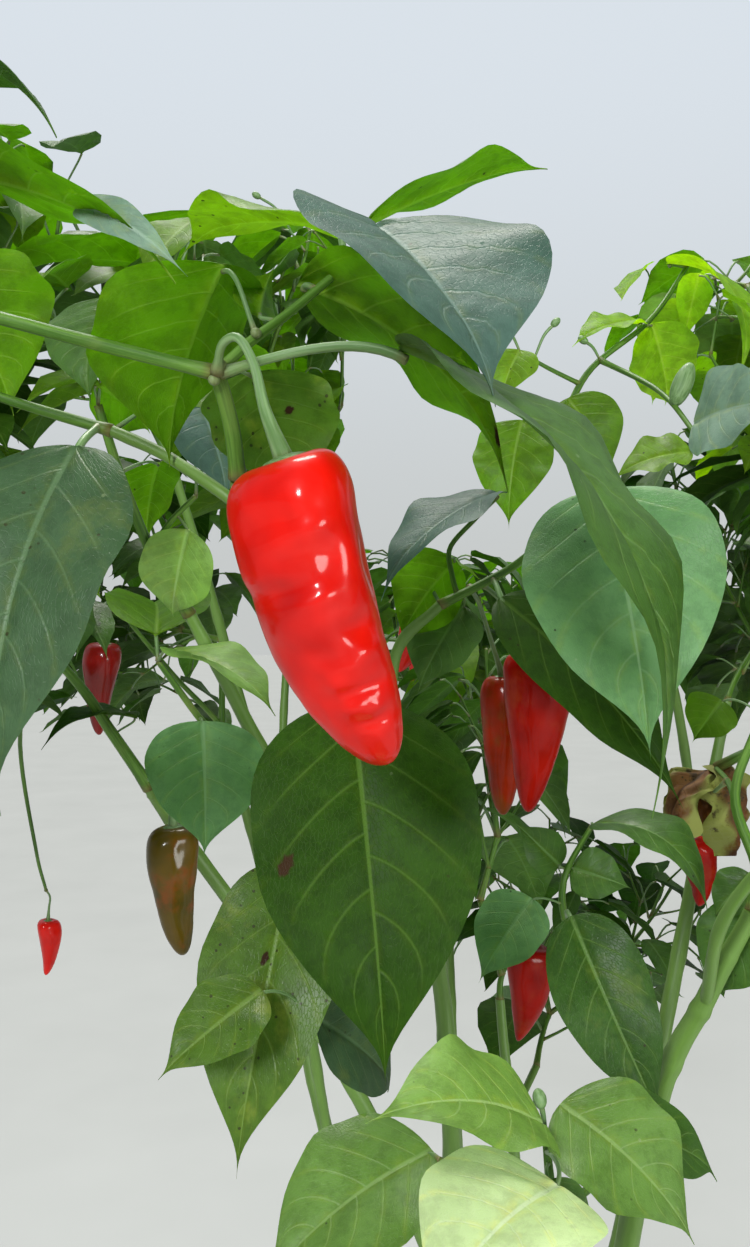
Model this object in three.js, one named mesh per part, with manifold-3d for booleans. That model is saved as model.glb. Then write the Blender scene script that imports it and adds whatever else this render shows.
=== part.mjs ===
// A chilli pepper plant: one woody stem that forks into green boughs, sprays of leaves on thin
// forking twigs, and hanging pods. Millimetres, +Z up, with the origin in the middle of the flat
// cut under the stem, at ground level. The front of the plant faces -Y.
import * as THREE from "three";
import Module from "manifold-3d";

const wasm = await Module();
wasm.setup();

// Driving dimensions of the stem and the boughs
const STEM_RADIUS = 13;
const STEM_TOP_RADIUS = 9.5;
const STEM_SIDES = 15;
const FLARE_RADIUS = 9; // added to the stem's radius at the ground
const FLARE_HEIGHT = 34;
const FLARE_LOBES = 5;
const BOUGH_SIDES = 5;
const BOUGH_STEP = 80; // from ring to ring
const JOINT_GAP = 0.3;

// Driving dimensions of the twigs, the leaves and the pods
const TWIG_LENGTH = 78; // from one fork to the next
const TWIG_RADII = [2.2, 1.8, 1.5, 1.2]; // from the first rank to the tips of the last
const LEAF_LENGTH = 94; // a full-grown blade
const LEAF_WIDTH_SHARE = 0.54;
const LEAF_THICKNESS_SHARE = 0.014;
const STALK_LENGTH = 27;
const STALK_RADIUS = 1.1;
const STALK_ROOT_RADIUS = 0.6; // at the middle of the twig that it springs from
const POD_LENGTH = 62;
const POD_WIDTH = 24;
const POD_SIDES = 8;
const PEDICEL_RADIUS = 1.3;
const CLEAR = 3; // kept between a leaf and what it passes
const FINENESS = 0.25; // what is smaller is smoothed away where solids are joined

// A sighting gives a point by where a level eye in front of the plant sees it: columns across and
// rows down in a picture, and the distance off.
const EYE = new THREE.Vector3(-65, -560, 900);
const PICTURE = { width: 750, height: 1247, focus: 1080, margin: 25 };

function seen(across, down, off) {
  const scale = off / PICTURE.focus;
  const right = (across - PICTURE.width / 2) * scale;
  const lower = (down - PICTURE.height / 2) * scale;
  return new THREE.Vector3(EYE.x + right, EYE.y + off, EYE.z - lower);
}

function sightOf(point) {
  const off = point.y - EYE.y;
  const scale = PICTURE.focus / Math.max(off, 1);
  const across = PICTURE.width / 2 + (point.x - EYE.x) * scale;
  const down = PICTURE.height / 2 - (point.z - EYE.z) * scale;
  return { across, down, off };
}

// Short names for the work on vectors
const UP = new THREE.Vector3(0, 0, 1);
const at = (x, y, z) => new THREE.Vector3(x, y, z);
const unit = (vector) => vector.clone().normalize();
const cross = (a, b) => new THREE.Vector3().crossVectors(a, b);
const from = (point, way, far) => point.clone().addScaledVector(way, far);
const turned = (vector, axis, angle) => vector.clone().applyAxisAngle(axis, angle);
const between = (a, b, share) => a.clone().lerp(b, share);
const clamped = (value, low, high) => Math.min(Math.max(value, low), high);

function squareTo(vector, way) {
  const left = vector.clone().addScaledVector(way, -vector.dot(way));
  return left.length() > 0.05 ? left.normalize() : squareTo(at(way.y, way.z, way.x), way);
}

// A seed always gives the same row of numbers, so the plant is always the same.
class Draw {
  constructor(seed) {
    this.state = seed >>> 0;
    this.next();
    this.next();
  }
  next() {
    this.state = (Math.imul(this.state, 1664525) + 1013904223) >>> 0;
    return this.state / 4294967296;
  }
  between(low, high) {
    return low + (high - low) * this.next();
  }
}

// A closed skin over rings of points, with a fan over each end. A ring may hold one point more
// than once, and a ring of one point only is a tip. Each quad is split from its second corner, or
// from its first one from the side named otherwise on.
function loft(rings, otherwise = Infinity) {
  const places = [...new Set(rings.flat())];
  const indexOf = new Map(places.map((place, index) => [place, index]));
  const faces = [];
  const face = (...corners) => {
    const indices = corners.map((corner) => indexOf.get(corner));
    if (new Set(indices).size === 3) faces.push(indices);
  };
  const sides = rings[0].length;
  for (let k = 0; k + 1 < rings.length; k += 1) {
    const [here, next] = [rings[k], rings[k + 1]];
    for (let i = 0; i < sides; i += 1) {
      const j = (i + 1) % sides;
      face(here[i], here[j], i < otherwise ? next[i] : next[j]);
      face(i < otherwise ? here[j] : here[i], next[j], next[i]);
    }
  }
  const [first, last] = [rings[0], rings.at(-1)];
  for (let i = 1; i + 1 < sides; i += 1) {
    face(first[0], first[i + 1], first[i]);
    face(last[0], last[i], last[i + 1]);
  }
  const volume = faces.reduce((sum, [a, b, c]) => sum + places[a].dot(cross(places[b], places[c])), 0);
  const triVerts = new Uint32Array(volume > 0 ? faces.flat() : faces.flat().reverse());
  const vertProperties = new Float32Array(places.flatMap((place) => place.toArray()));
  return new wasm.Manifold(new wasm.Mesh({ numProp: 3, vertProperties, triVerts }));
}

const joined = (solids) => wasm.Manifold.union(solids);

function largestPiece(solid) {
  return solid.decompose().reduce((a, b) => (b.volume() > a.volume() ? b : a));
}

function ringRound(middle, way, side, radius, sides) {
  return Array.from({ length: sides }, (_, i) =>
    from(middle, turned(side, way, (2 * Math.PI * i) / sides), radius),
  );
}

// Boughs, twigs and stalks are tubes along a smooth line, with a radius at each end. A grown tube
// is the same tube with more all round and at both ends, to cut its neighbours back by.
const smoothLine = (points) => new THREE.CatmullRomCurve3(points, false, "catmullrom", 0.5);

function tubeRings({ points, radii }, sides, steps, more = 0) {
  const line = smoothLine(points);
  let side = squareTo(at(1, 0.3, 0.1), line.getTangent(0));
  const rings = [];
  for (let k = 0; k <= steps; k += 1) {
    const share = k / steps;
    const way = line.getTangent(share);
    const past = (share === 1 ? more : 0) - (share === 0 ? more : 0);
    side = squareTo(side, way);
    const radius = radii[0] + (radii[1] - radii[0]) * share + more;
    rings.push(ringRound(from(line.getPoint(share), way, past), way, side, radius, sides));
  }
  return rings;
}

const tube = (entry, sides, steps, more) => loft(tubeRings(entry, sides, steps, more));

// The stem leans and tapers, and its foot flares in lobes to the level cut at the ground.
const STEM = {
  points: [at(0, 0, 0), at(-3, -4, 90), at(3, -8, 180), at(0, -8, 272)],
  radii: [STEM_RADIUS, STEM_TOP_RADIUS],
  stations: [0, 0.04, 0.1, 0.2, 0.42, 0.7, 1],
};

function stemSolid(more = 0) {
  const line = smoothLine(STEM.points);
  const ring = (share) => {
    const middle = line.getPoint(share);
    const flare = FLARE_RADIUS * Math.exp(-middle.z / FLARE_HEIGHT);
    const radius = STEM.radii[0] + (STEM.radii[1] - STEM.radii[0]) * share + more;
    middle.z += share === 1 ? more : 0;
    return Array.from({ length: STEM_SIDES }, (_, i) => {
      const angle = (2 * Math.PI * i) / STEM_SIDES;
      const reach = radius + flare * (1 + 0.5 * Math.cos(FLARE_LOBES * angle));
      return from(middle, at(Math.cos(angle), Math.sin(angle), 0), reach);
    });
  };
  return loft(STEM.stations.map(ring));
}

// Each bough starts inside the limb that carries it, and is cut back to that limb's skin.
const FORK = at(0, -8, 268);
const FRONT_FORK = at(-22, -12, 545);
const CENTRE_FORK = seen(392, 762, 470);

const BOUGHS = {
  bough_front: { points: [FORK, at(-9, -14, 400), FRONT_FORK], radii: [7.6, 5.6] },
  bough_right: {
    points: [
      FORK,
      at(26, -34, 400),
      at(36, -78, 560),
      seen(655, 1110, 450),
      seen(705, 1000, 430),
      seen(752, 912, 420),
    ],
    radii: [7, 3.2],
  },
  bough_back_left: {
    points: [FORK, at(-34, 44, 400), at(-88, 104, 560), at(-128, 146, 700), at(-160, 170, 800)],
    radii: [7, 3],
  },
  bough_back_right: {
    points: [FORK, at(40, 36, 420), at(96, 84, 600), at(138, 116, 760), at(160, 130, 850)],
    radii: [7.2, 3],
  },
  bough_back: {
    points: [FORK, at(-6, 74, 410), at(-12, 150, 560), at(-14, 205, 700), at(-10, 235, 790)],
    radii: [6.4, 2.8],
  },
  bough_inner: {
    points: [FORK, at(10, 22, 420), at(16, 52, 560), at(8, 72, 680)],
    radii: [5.6, 2.8],
  },
  bough_centre: {
    points: [
      FRONT_FORK,
      seen(449, 1085, 525),
      seen(440, 980, 520),
      seen(416, 850, 495),
      CENTRE_FORK,
    ],
    radii: [5, 3.2],
  },
  bough_left: {
    points: [
      FRONT_FORK,
      at(-62, -16, 640),
      seen(300, 1000, 540),
      seen(175, 825, 520),
      seen(150, 788, 512),
    ],
    radii: [4.6, 3.2],
  },
  bough_fork: {
    points: [
      CENTRE_FORK,
      seen(345, 690, 400),
      seen(300, 600, 330),
      seen(247, 505, 284),
      seen(238, 478, 272),
    ],
    radii: [3, 2.1],
  },
  bough_right_middle: {
    points: [CENTRE_FORK, seen(396, 655, 462), seen(440, 605, 460)],
    radii: [2.7, 2.2],
  },
  bough_left_middle: {
    points: [
      seen(428, 930, 508),
      seen(340, 850, 480),
      seen(275, 770, 450),
      seen(225, 680, 430),
      seen(190, 615, 420),
    ],
    radii: [3.2, 2.5],
  },
  bough_left_heart: {
    points: [seen(272, 766, 449), seen(245, 750, 441), seen(222, 742, 438)],
    radii: [2.1, 1.8],
  },
  bough_left_front: {
    points: [seen(256, 521, 289), seen(225, 495, 288), seen(165, 455, 296), seen(112, 431, 298)],
    radii: [1.8, 1.6],
  },
  bough_centre_front: {
    points: [seen(388, 772, 471), seen(360, 752, 420), seen(346, 716, 368)],
    radii: [2.4, 2],
  },
  bough_right_inner: {
    points: [seen(655, 1118, 450), seen(610, 1030, 468), seen(568, 930, 484)],
    radii: [2.6, 2],
  },
  bough_right_front: {
    points: [seen(705, 1004, 431), at(60, -180, 800), at(84, -222, 850)],
    radii: [2.6, 2.1],
  },
  bough_low_front: {
    points: [at(-19, -14, 505), at(-15, -90, 580), at(-10, -170, 655), seen(560, 1262, 335)],
    radii: [3.8, 2.4],
  },
  bough_low_right: {
    points: [at(26, -34, 400), at(110, -22, 500), at(190, 0, 590)],
    radii: [4.2, 2.6],
  },
  bough_low_back: {
    points: [at(-11, 130, 520), at(24, 168, 560), at(48, 196, 590)],
    radii: [3, 2.4],
  },
  bough_top_right: {
    points: [at(138, 116, 760), at(112, 98, 880), at(62, 66, 965), seen(560, 428, 606)],
    radii: [3, 2.2],
  },
  bough_top_left: {
    points: [at(-94, 110, 580), at(-120, 70, 760), at(-150, 30, 900), at(-172, 6, 985)],
    radii: [3.4, 2.3],
  },
  bough_top_back: {
    points: [at(-128, 146, 700), at(-126, 168, 850), at(-118, 182, 945)],
    radii: [3, 2.2],
  },
};

function boughSolid(bough, more = 0) {
  const steps = Math.max(3, Math.round(smoothLine(bough.points).getLength() / BOUGH_STEP));
  return tube(bough, BOUGH_SIDES, steps, more);
}

function limbSolids() {
  const limbs = { stem: { solid: stemSolid(), grown: stemSolid(JOINT_GAP) } };
  for (const [name, bough] of Object.entries(BOUGHS)) {
    const earlier = joined(Object.values(limbs).map((limb) => limb.grown));
    const solid = largestPiece(boughSolid(bough).subtract(earlier));
    limbs[name] = { solid, grown: boughSolid(bough, JOINT_GAP) };
  }
  return limbs;
}

// A blade is an ovate leaf without its stalk: shares along it run from base to tip, and shares
// across it from -1 at the left edge to 1 at the right one.
function outline(share) {
  const t = clamped(share, 0, 1);
  return (t ** 0.6 * (1 - t) ** 1.25) / 0.3117;
}

function bladeOf({ root, base, tip, face, width, bow = 0.1, fold = 0.2 }) {
  const way = unit(tip.clone().sub(base));
  const side = unit(cross(way, face));
  const over = cross(side, way);
  return { root, base, tip, way, side, over, length: base.distanceTo(tip), width, bow, fold };
}

const arc = (blade, share) => 4 * blade.length * share * (1 - share);
const middleOf = (blade) => between(blade.base, blade.tip, 0.5);

function onBlade(blade, share, across) {
  const half = (blade.width / 2) * outline(share);
  const spine = from(blade.base, blade.way, blade.length * share);
  const high = blade.fold * Math.abs(across) * half + blade.bow * arc(blade, share);
  return from(from(spine, blade.side, across * half), blade.over, high);
}

// A leaf's solid runs from its root inside the twig, up a three-sided stalk and over the blade. The
// ring at the blade's base faces half way from the stalk to the blade, and the lower sheet is split
// along the same diagonals as the upper one, so the thin sheets never cross.
const LOWER_SHEET = 2;

function leafSolid(blade, stations) {
  const stalk = unit(blade.base.clone().sub(blade.root));
  const halfWay = unit(stalk.clone().add(blade.way));
  const stalkRing = (middle, radius, way) => {
    const side = squareTo(blade.side, way);
    const over = cross(side, way);
    const top = from(middle, over, radius / 2);
    const left = from(top, side, -0.87 * radius);
    return [left, left, from(top, side, 0.87 * radius), from(middle, over, -radius)];
  };
  const thick = (LEAF_THICKNESS_SHARE * blade.length) / 2;
  const bladeRing = (share) => [
    onBlade(blade, share, -1),
    from(onBlade(blade, share, 0), blade.over, thick),
    onBlade(blade, share, 1),
    from(onBlade(blade, share, 0), blade.over, -thick),
  ];
  const rings = [
    stalkRing(blade.root, STALK_ROOT_RADIUS, stalk),
    stalkRing(blade.base, STALK_RADIUS, halfWay),
  ];
  return loft([...rings, ...stations.map(bladeRing), Array(4).fill(blade.tip)], LOWER_SHEET);
}

const BROAD = 36; // a placed leaf over this width has more stations
const BROAD_STATIONS = [0.12, 0.38, 0.72];
const NARROW_STATIONS = [0.22, 0.62];
const GROWN_STATIONS = [0.36];

// A pod narrows from its shoulder to a blunt tip: shares of its length, and of its half-width.
const POD_PROFILE = [
  [0, 0.34],
  [0.03, 0.74],
  [0.14, 1],
  [0.38, 0.95],
  [0.64, 0.7],
  [0.87, 0.42],
  [0.97, 0.24],
];
const CALYX_SHARE = 0.36; // of the pod's half-width
const CALYX_LENGTH = 5;

function podRing(fruit, [share, half], sides) {
  const way = unit(fruit.tip.clone().sub(fruit.top));
  const length = fruit.top.distanceTo(fruit.tip);
  const side = squareTo(at(1, 0.2, 0), way);
  const sideways = fruit.curve * length * 4 * share * (1 - share);
  const middle = from(from(fruit.top, way, length * share), cross(side, way), sideways);
  return ringRound(middle, way, side, (half * fruit.width) / 2, sides);
}

function podSolid(fruit, sides) {
  const rings = POD_PROFILE.map((row) => podRing(fruit, row, sides));
  return loft([...rings, Array(sides).fill(fruit.tip)]);
}

// A grown pod is one skin with its pedicel.
function grownPodSolid({ fork, crest, ...fruit }, sides) {
  const body = [0, 2, 4].map((index) => podRing(fruit, POD_PROFILE[index], sides));
  const side = squareTo(at(1, 0.2, 0), unit(fruit.tip.clone().sub(fruit.top)));
  const [up, over] = [unit(crest.clone().sub(fork)), unit(fruit.top.clone().sub(fork))];
  const pedicel = [
    ringRound(fork, up, squareTo(side, up), PEDICEL_RADIUS, sides),
    ringRound(crest, over, squareTo(side, over), PEDICEL_RADIUS, sides),
  ];
  return loft([...pedicel, ...body, Array(sides).fill(fruit.tip)]);
}

// The pedicel arches over and swells into the calyx, which sits on the pod's shoulder.
function pedicelSolid(fruit, sides, steps) {
  const way = unit(fruit.tip.clone().sub(fruit.top));
  const seat = from(fruit.top, way, -JOINT_GAP);
  const neck = from(seat, way, -CALYX_LENGTH);
  const stalk = { points: [...fruit.path, neck], radii: [PEDICEL_RADIUS, PEDICEL_RADIUS * 1.3] };
  const rings = tubeRings(stalk, sides, steps);
  const side = squareTo(rings.at(-1)[0].clone().sub(neck), way);
  return loft([...rings, ringRound(seat, way, side, (CALYX_SHARE * fruit.width) / 2, sides)]);
}

// Windows through the crown, as the eye sees them from the front: nothing is grown across them.
const WINDOWS = [
  { name: "over the crown", across: [-900, 1700], down: [-900, 55] },
  { name: "over the left and middle", across: [115, 545], down: [-900, 205] },
  { name: "over the right", across: [545, 1000], down: [-900, 250] },
  { name: "beside the great pod", across: [348, 500], down: [285, 545] },
  { name: "low on the left", across: [-60, 150], down: [735, 1320] },
  { name: "under the left sprays", across: [150, 262], down: [960, 1320] },
  { name: "between the right sprays", across: [575, 645], down: [715, 810] },
  { name: "low on the right", across: [668, 720], down: [1000, 1110] },
];
const NEAR = 455; // all that the eye sees nearer than this is placed, and nothing is grown there

function spoilsTheView(point) {
  const { across, down, off } = sightOf(point);
  const { width, height, margin } = PICTURE;
  const within = (value, [low, high]) => value > low && value < high;
  const pictured = within(across, [-margin, width + margin]) && within(down, [-margin, height + margin]);
  if (pictured && off < NEAR) return true;
  return WINDOWS.some((window) => within(across, window.across) && within(down, window.down));
}

// A placed leaf goes from the sighting of its base to that of its tip. Its upper face looks at the
// eye, then rolls skyward about the leaf by an angle in degrees, so 180 shows the underside.
function leaf(base, tip, width, roll, more = {}) {
  return { base: seen(...base), tip: seen(...tip), width, roll, ...more };
}

function placedBlade(entry, twigs) {
  const way = unit(entry.tip.clone().sub(entry.base));
  const toEye = squareTo(EYE.clone().sub(middleOf(entry)), way);
  const across = cross(toEye, way);
  const skyward = across.multiplyScalar(Math.sign(across.z));
  const roll = THREE.MathUtils.degToRad(entry.roll);
  const face = entry.face ?? from(toEye.multiplyScalar(Math.cos(roll)), skyward, Math.sin(roll));
  const anchor = entry.root ? seen(...entry.root) : entry.base;
  return bladeOf({ ...entry, face, root: nearestOn(twigs, anchor) });
}

function nearestOn(twigs, point) {
  const places = twigs.flatMap(({ points }) => smoothLine(points).getPoints(30));
  return places.reduce((a, b) => (b.distanceTo(point) < a.distanceTo(point) ? b : a));
}

// A placed pod has the sightings of its pedicel, its shoulder and its tip.
function pod(name, colour, path, top, tip, width, curve = 0) {
  const points = path.map((sighting) => seen(...sighting));
  return { name, colour, path: points, top: seen(...top), tip: seen(...tip), width, curve };
}

// A placed twig has sightings along it and the radii of its ends.
function twig(path, radii) {
  return { points: path.map((sighting) => seen(...sighting)), radii };
}

// The masses: the bough that carries each, what is placed in it, and where its rule grows on. The
// first twig of a mass goes on from the tip of its bough.
const MASSES = {
  spray_fork: {
    bough: "bough_fork",
    twigs: [
      twig([[232, 430, 266], [222, 390, 261], [216, 373, 258]], [2.1, 1.9]),
      twig([[216, 373, 258], [110, 347, 256], [0, 318, 252], [-105, 288, 248]], [1.7, 1.5]),
      twig([[216, 373, 258], [250, 342, 262], [290, 312, 267], [345, 266, 272]], [1.4, 1.1]),
    ],
    leaves: [
      leaf([222, 264, 268], [165, 464, 292], 56, 134, { bow: 0.06, fold: 0.3, root: [220, 384, 260] }),
      leaf([300, 283, 276], [515, 486, 262], 48, 114, { bow: 0.13, fold: 0.12 }),
      leaf([376, 224, 258], [503, 388, 215], 58, 50, { bow: 0.06, fold: 0.3 }),
      leaf([342, 226, 276], [182, 237, 340], 44, 104, { bow: 0.04, fold: 0.1 }),
      leaf([366, 222, 280], [545, 163, 312], 36, 104, { bow: 0.03, fold: 0.1 }),
      leaf([402, 346, 250], [684, 800, 212], 48, 70, { bow: 0.16, fold: 0.15, root: [216, 375, 258] }),
      leaf([-62, 168, 250], [183, 268, 238], 42, 103, { bow: 0.06, fold: 0.1 }),
      leaf([-112, 20, 262], [64, 126, 250], 36, 100, { bow: 0.06, fold: 0.1 }),
      leaf([257, 318, 272], [272, 268, 300], 16, 150, { bow: 0.06 }),
    ],
    pods: [
      pod(
        "pod_great",
        "ripe",
        [[217, 372, 257], [222, 345, 251], [238, 338, 248], [254, 365, 247], [265, 410, 247]],
        [284, 458, 249],
        [387, 764, 262],
        31,
        0.025,
      ),
    ],
  },
  spray_left_front: {
    bough: "bough_left_front",
    twigs: [twig([[15, 402, 300], [-70, 372, 303]], [1.6, 1.2])],
    leaves: [
      leaf([76, 446, 286], [-8, 815, 264], 50, 25, { bow: 0.14 }),
      leaf([-62, 262, 292], [18, 414, 306], 48, 150, { bow: 0.06 }),
      leaf([252, 372, 312], [286, 505, 326], 42, 160, { bow: 0.06, root: [204, 478, 287] }),
    ],
    pods: [],
    grows: { heart: at(-265, -250, 905), reach: 110, seed: 3 },
  },
  spray_left_middle: {
    bough: "bough_left_middle",
    twigs: [
      twig([[155, 560, 412], [122, 480, 405], [98, 405, 398]], [2.4, 1.6]),
      twig([[151, 550, 411], [172, 520, 407], [196, 496, 404]], [1.3, 1]),
    ],
    leaves: [
      leaf([188, 530, 404], [172, 618, 424], 30, 20, { bow: 0.12 }),
      leaf([158, 462, 416], [146, 546, 436], 26, 150),
      leaf([202, 408, 404], [228, 500, 392], 38, 28, { bow: 0.08 }),
      leaf([108, 298, 385], [88, 402, 372], 38, 40, { root: [98, 405, 398] }),
      leaf([96, 384, 396], [152, 432, 400], 32, 150),
    ],
    pods: [],
  },
  spray_left_heart: {
    bough: "bough_left_heart",
    twigs: [twig([[198, 716, 435], [158, 661, 430]], [1.7, 1.2])],
    leaves: [
      leaf([202, 721, 425], [205, 858, 412], 46, 8, { bow: 0.06 }),
      leaf([171, 650, 408], [277, 712, 388], 38, 68),
      leaf([156, 634, 431], [150, 604, 498], 44, 0, { face: at(0.1, -0.2, 1), bow: 0.08, fold: 0.35 }),
    ],
    pods: [],
  },
  spray_left_low: {
    bough: "bough_left",
    twigs: [
      twig([[110, 730, 500], [75, 680, 490], [-10, 590, 470]], [3, 1.8]),
      twig([[40, 645, 482], [20, 740, 560], [36, 850, 620], [46, 890, 645]], [1.3, 0.9]),
      twig([[-10, 590, 470], [-90, 560, 455], [-150, 500, 450]], [1.6, 1.3]),
    ],
    leaves: [
      leaf([137, 716, 506], [40, 744, 478], 30, 78, { bow: 0.14 }),
      leaf([-60, 600, 460], [-170, 700, 440], 46, 30),
    ],
    pods: [
      pod(
        "pod_turning",
        "turning",
        [[143, 779, 511], [158, 782, 504], [170, 800, 498]],
        [174, 827, 496],
        [190, 954, 498],
        25,
        0.03,
      ),
      pod(
        "pod_small_left",
        "ripe",
        [[46, 890, 645], [50, 897, 652], [49, 908, 657]],
        [48, 920, 660],
        [46, 975, 662],
        13,
        0.02,
      ),
    ],
    grows: { heart: at(-325, -45, 935), reach: 150, seed: 11 },
  },
  spray_right_middle: {
    bough: "bough_right_middle",
    twigs: [
      twig([[490, 580, 458], [522, 560, 452], [566, 520, 425], [598, 484, 402]], [2, 1.3]),
      twig([[458, 597, 460], [452, 575, 462], [450, 548, 462], [474, 520, 455], [497, 497, 440]], [1.2, 1]),
    ],
    leaves: [
      leaf([604, 490, 388], [652, 757, 352], 68, 6, { bow: 0.05 }),
      leaf([500, 598, 448], [686, 806, 422], 42, 32, { bow: 0.08 }),
      leaf([497, 492, 436], [376, 590, 402], 36, 60, { bow: 0.08 }),
      leaf([455, 560, 474], [398, 642, 462], 38, 155, { bow: 0.08 }),
      leaf([464, 606, 486], [417, 692, 486], 34, 20, { bow: 0.08 }),
    ],
    pods: [
      pod(
        "pod_pair_right",
        "ripe",
        [[482, 584, 459], [500, 600, 472], [520, 628, 490]],
        [531, 654, 500],
        [535, 812, 500],
        30,
        0.03,
      ),
      pod(
        "pod_pair_left",
        "ripening",
        [[470, 588, 459], [480, 606, 490], [494, 650, 524]],
        [501, 676, 532],
        [499, 815, 534],
        23,
        0.02,
      ),
      pod(
        "pod_behind",
        "ripe",
        [[440, 604, 461], [432, 590, 478], [424, 584, 492]],
        [419, 592, 500],
        [398, 672, 505],
        18,
        0.02,
      ),
    ],
  },
  spray_top_right: {
    bough: "bough_top_right",
    twigs: [
      twig([[590, 370, 612], [650, 320, 625], [690, 262, 640]], [2.1, 1.3]),
      twig([[580, 384, 610], [548, 368, 603], [520, 352, 598]], [1.4, 1]),
      twig([[600, 360, 614], [660, 392, 560], [700, 440, 520]], [1.6, 1.2]),
    ],
    leaves: [
      leaf([652, 324, 622], [668, 408, 600], 42, 158),
      leaf([668, 262, 640], [742, 386, 590], 34, 72, { bow: 0.22 }),
      leaf([568, 398, 600], [614, 474, 588], 40, 22),
      leaf([522, 420, 590], [508, 528, 580], 44, 12),
      leaf([640, 322, 625], [572, 344, 612], 34, 70),
      leaf([692, 452, 512], [612, 478, 520], 34, 60),
      leaf([694, 424, 516], [792, 400, 470], 46, 34),
      leaf([520, 350, 596], [500, 402, 590], 30, 20),
    ],
    pods: [],
    grows: { heart: at(190, 110, 1075), reach: 130, seed: 5 },
  },
  spray_right_inner: {
    bough: "bough_right_inner",
    twigs: [twig([[562, 898, 490], [568, 868, 494], [592, 826, 490]], [1.9, 1.2])],
    leaves: [
      leaf([562, 914, 440], [656, 1127, 408], 44, 6, { bow: 0.06 }),
      leaf([541, 902, 482], [487, 986, 470], 36, 12, { bow: 0.08 }),
      leaf([572, 868, 498], [632, 888, 488], 24, 14, { bow: 0.06 }),
      leaf([560, 866, 498], [516, 823, 494], 20, 14, { bow: 0.06 }),
      leaf([593, 824, 474], [713, 912, 442], 36, 58, { bow: 0.24 }),
    ],
    pods: [],
  },
  spray_right_edge: {
    bough: "bough_right",
    twigs: [
      twig([[757, 868, 428], [735, 800, 440], [752, 740, 450], [790, 660, 455]], [2.6, 1.6]),
      twig([[735, 800, 440], [727, 780, 480], [716, 768, 520]], [1.4, 1.1]),
    ],
    leaves: [
      leaf([722, 700, 470], [692, 742, 470], 24, 15),
      leaf([764, 906, 434], [712, 1000, 444], 34, 14),
      leaf([744, 874, 432], [704, 916, 438], 24, 15),
      leaf([712, 768, 528], [668, 852, 520], 30, 30, { bow: 0.3, fold: 0.5 }),
    ],
    pods: [
      pod(
        "pod_low_right",
        "ripe",
        [[727, 781, 478], [706, 800, 540], [696, 822, 556]],
        [692, 838, 560],
        [702, 904, 560],
        20,
        0.02,
      ),
    ],
    grows: { heart: at(235, -120, 895), reach: 140, seed: 21 },
  },
  spray_right_front: {
    bough: "bough_right_front",
    twigs: [],
    leaves: [],
    pods: [],
    grows: { heart: at(118, -262, 915), reach: 90, seed: 25 },
  },
  spray_centre: {
    bough: "bough_centre_front",
    twigs: [
      twig([[342, 704, 356], [346, 700, 346]], [1.9, 1.4]),
      twig([[345, 712, 364], [334, 800, 388], [338, 920, 384], [314, 1016, 362]], [1.5, 1.1]),
    ],
    leaves: [
      leaf([352, 702, 344], [388, 1092, 314], 70, 6, { bow: 0.05, fold: 0.14 }),
      leaf([292, 862, 378], [232, 1182, 344], 46, 10, { bow: 0.06 }),
      leaf([262, 990, 342], [157, 1078, 324], 34, 24, { bow: 0.08 }),
      leaf([316, 1018, 366], [396, 1092, 398], 32, 36, { bow: 0.08 }),
    ],
    pods: [],
  },
  spray_low_front: {
    bough: "bough_low_front",
    twigs: [
      twig([[552, 1200, 338], [546, 1140, 342]], [2.2, 1.2]),
      twig([[556, 1235, 336], [500, 1190, 352], [440, 1160, 366]], [1.5, 1.1]),
      twig([[554, 1216, 337], [600, 1180, 355], [640, 1150, 375]], [1.5, 1.1]),
      twig([[559, 1250, 336], [580, 1300, 325], [590, 1360, 318]], [1.9, 1.7]),
    ],
    leaves: [
      leaf([543, 1124, 334], [368, 1118, 306], 46, 48, { bow: 0.12 }),
      leaf([560, 1104, 348], [697, 1243, 326], 44, 34),
      leaf([558, 1186, 302], [418, 1334, 262], 50, 30, { bow: 0.12 }),
      leaf([432, 1150, 372], [256, 1292, 344], 50, 30),
      leaf([600, 1122, 380], [722, 1176, 384], 38, 48),
      leaf([548, 1180, 322], [582, 1262, 306], 16, 18),
    ],
    pods: [],
    grows: { heart: at(-10, -235, 600), reach: 120, seed: 33 },
  },
  spray_top_left: {
    bough: "bough_top_left",
    twigs: [],
    leaves: [],
    pods: [],
    grows: { heart: at(-215, 10, 1070), reach: 130, seed: 8 },
  },
  spray_top_back: {
    bough: "bough_top_back",
    twigs: [],
    leaves: [],
    pods: [],
    grows: { heart: at(-125, 200, 1050), reach: 130, seed: 41 },
  },
  spray_back_left: {
    bough: "bough_back_left",
    twigs: [
      twig([[222, 728, 728], [178, 680, 712], [140, 635, 690], [112, 600, 672]], [2.2, 1.1]),
      twig([[222, 728, 728], [222, 640, 745]], [2.2, 2]),
    ],
    leaves: [],
    pods: [
      pod(
        "pod_dark_left",
        "ripening",
        [[112, 600, 672], [104, 606, 668], [103, 622, 666]],
        [105, 643, 665],
        [99, 735, 668],
        21,
        0.03,
      ),
    ],
    grows: { heart: at(-225, 225, 900), reach: 150, seed: 14 },
  },
  spray_back: {
    bough: "bough_back",
    twigs: [],
    leaves: [],
    pods: [],
    grows: { heart: at(-5, 285, 885), reach: 140, seed: 44 },
  },
  spray_back_right: {
    bough: "bough_back_right",
    twigs: [],
    leaves: [],
    pods: [],
    grows: { heart: at(225, 205, 920), reach: 150, seed: 17 },
  },
  spray_inner: {
    bough: "bough_inner",
    twigs: [
      twig([[502, 975, 634], [520, 930, 650]], [2.2, 1.3]),
      twig([[502, 975, 634], [480, 900, 640]], [2, 1.8]),
    ],
    leaves: [],
    pods: [
      pod(
        "pod_deep_right",
        "ripe",
        [[520, 930, 650], [528, 912, 662], [536, 922, 674]],
        [536, 944, 680],
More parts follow.
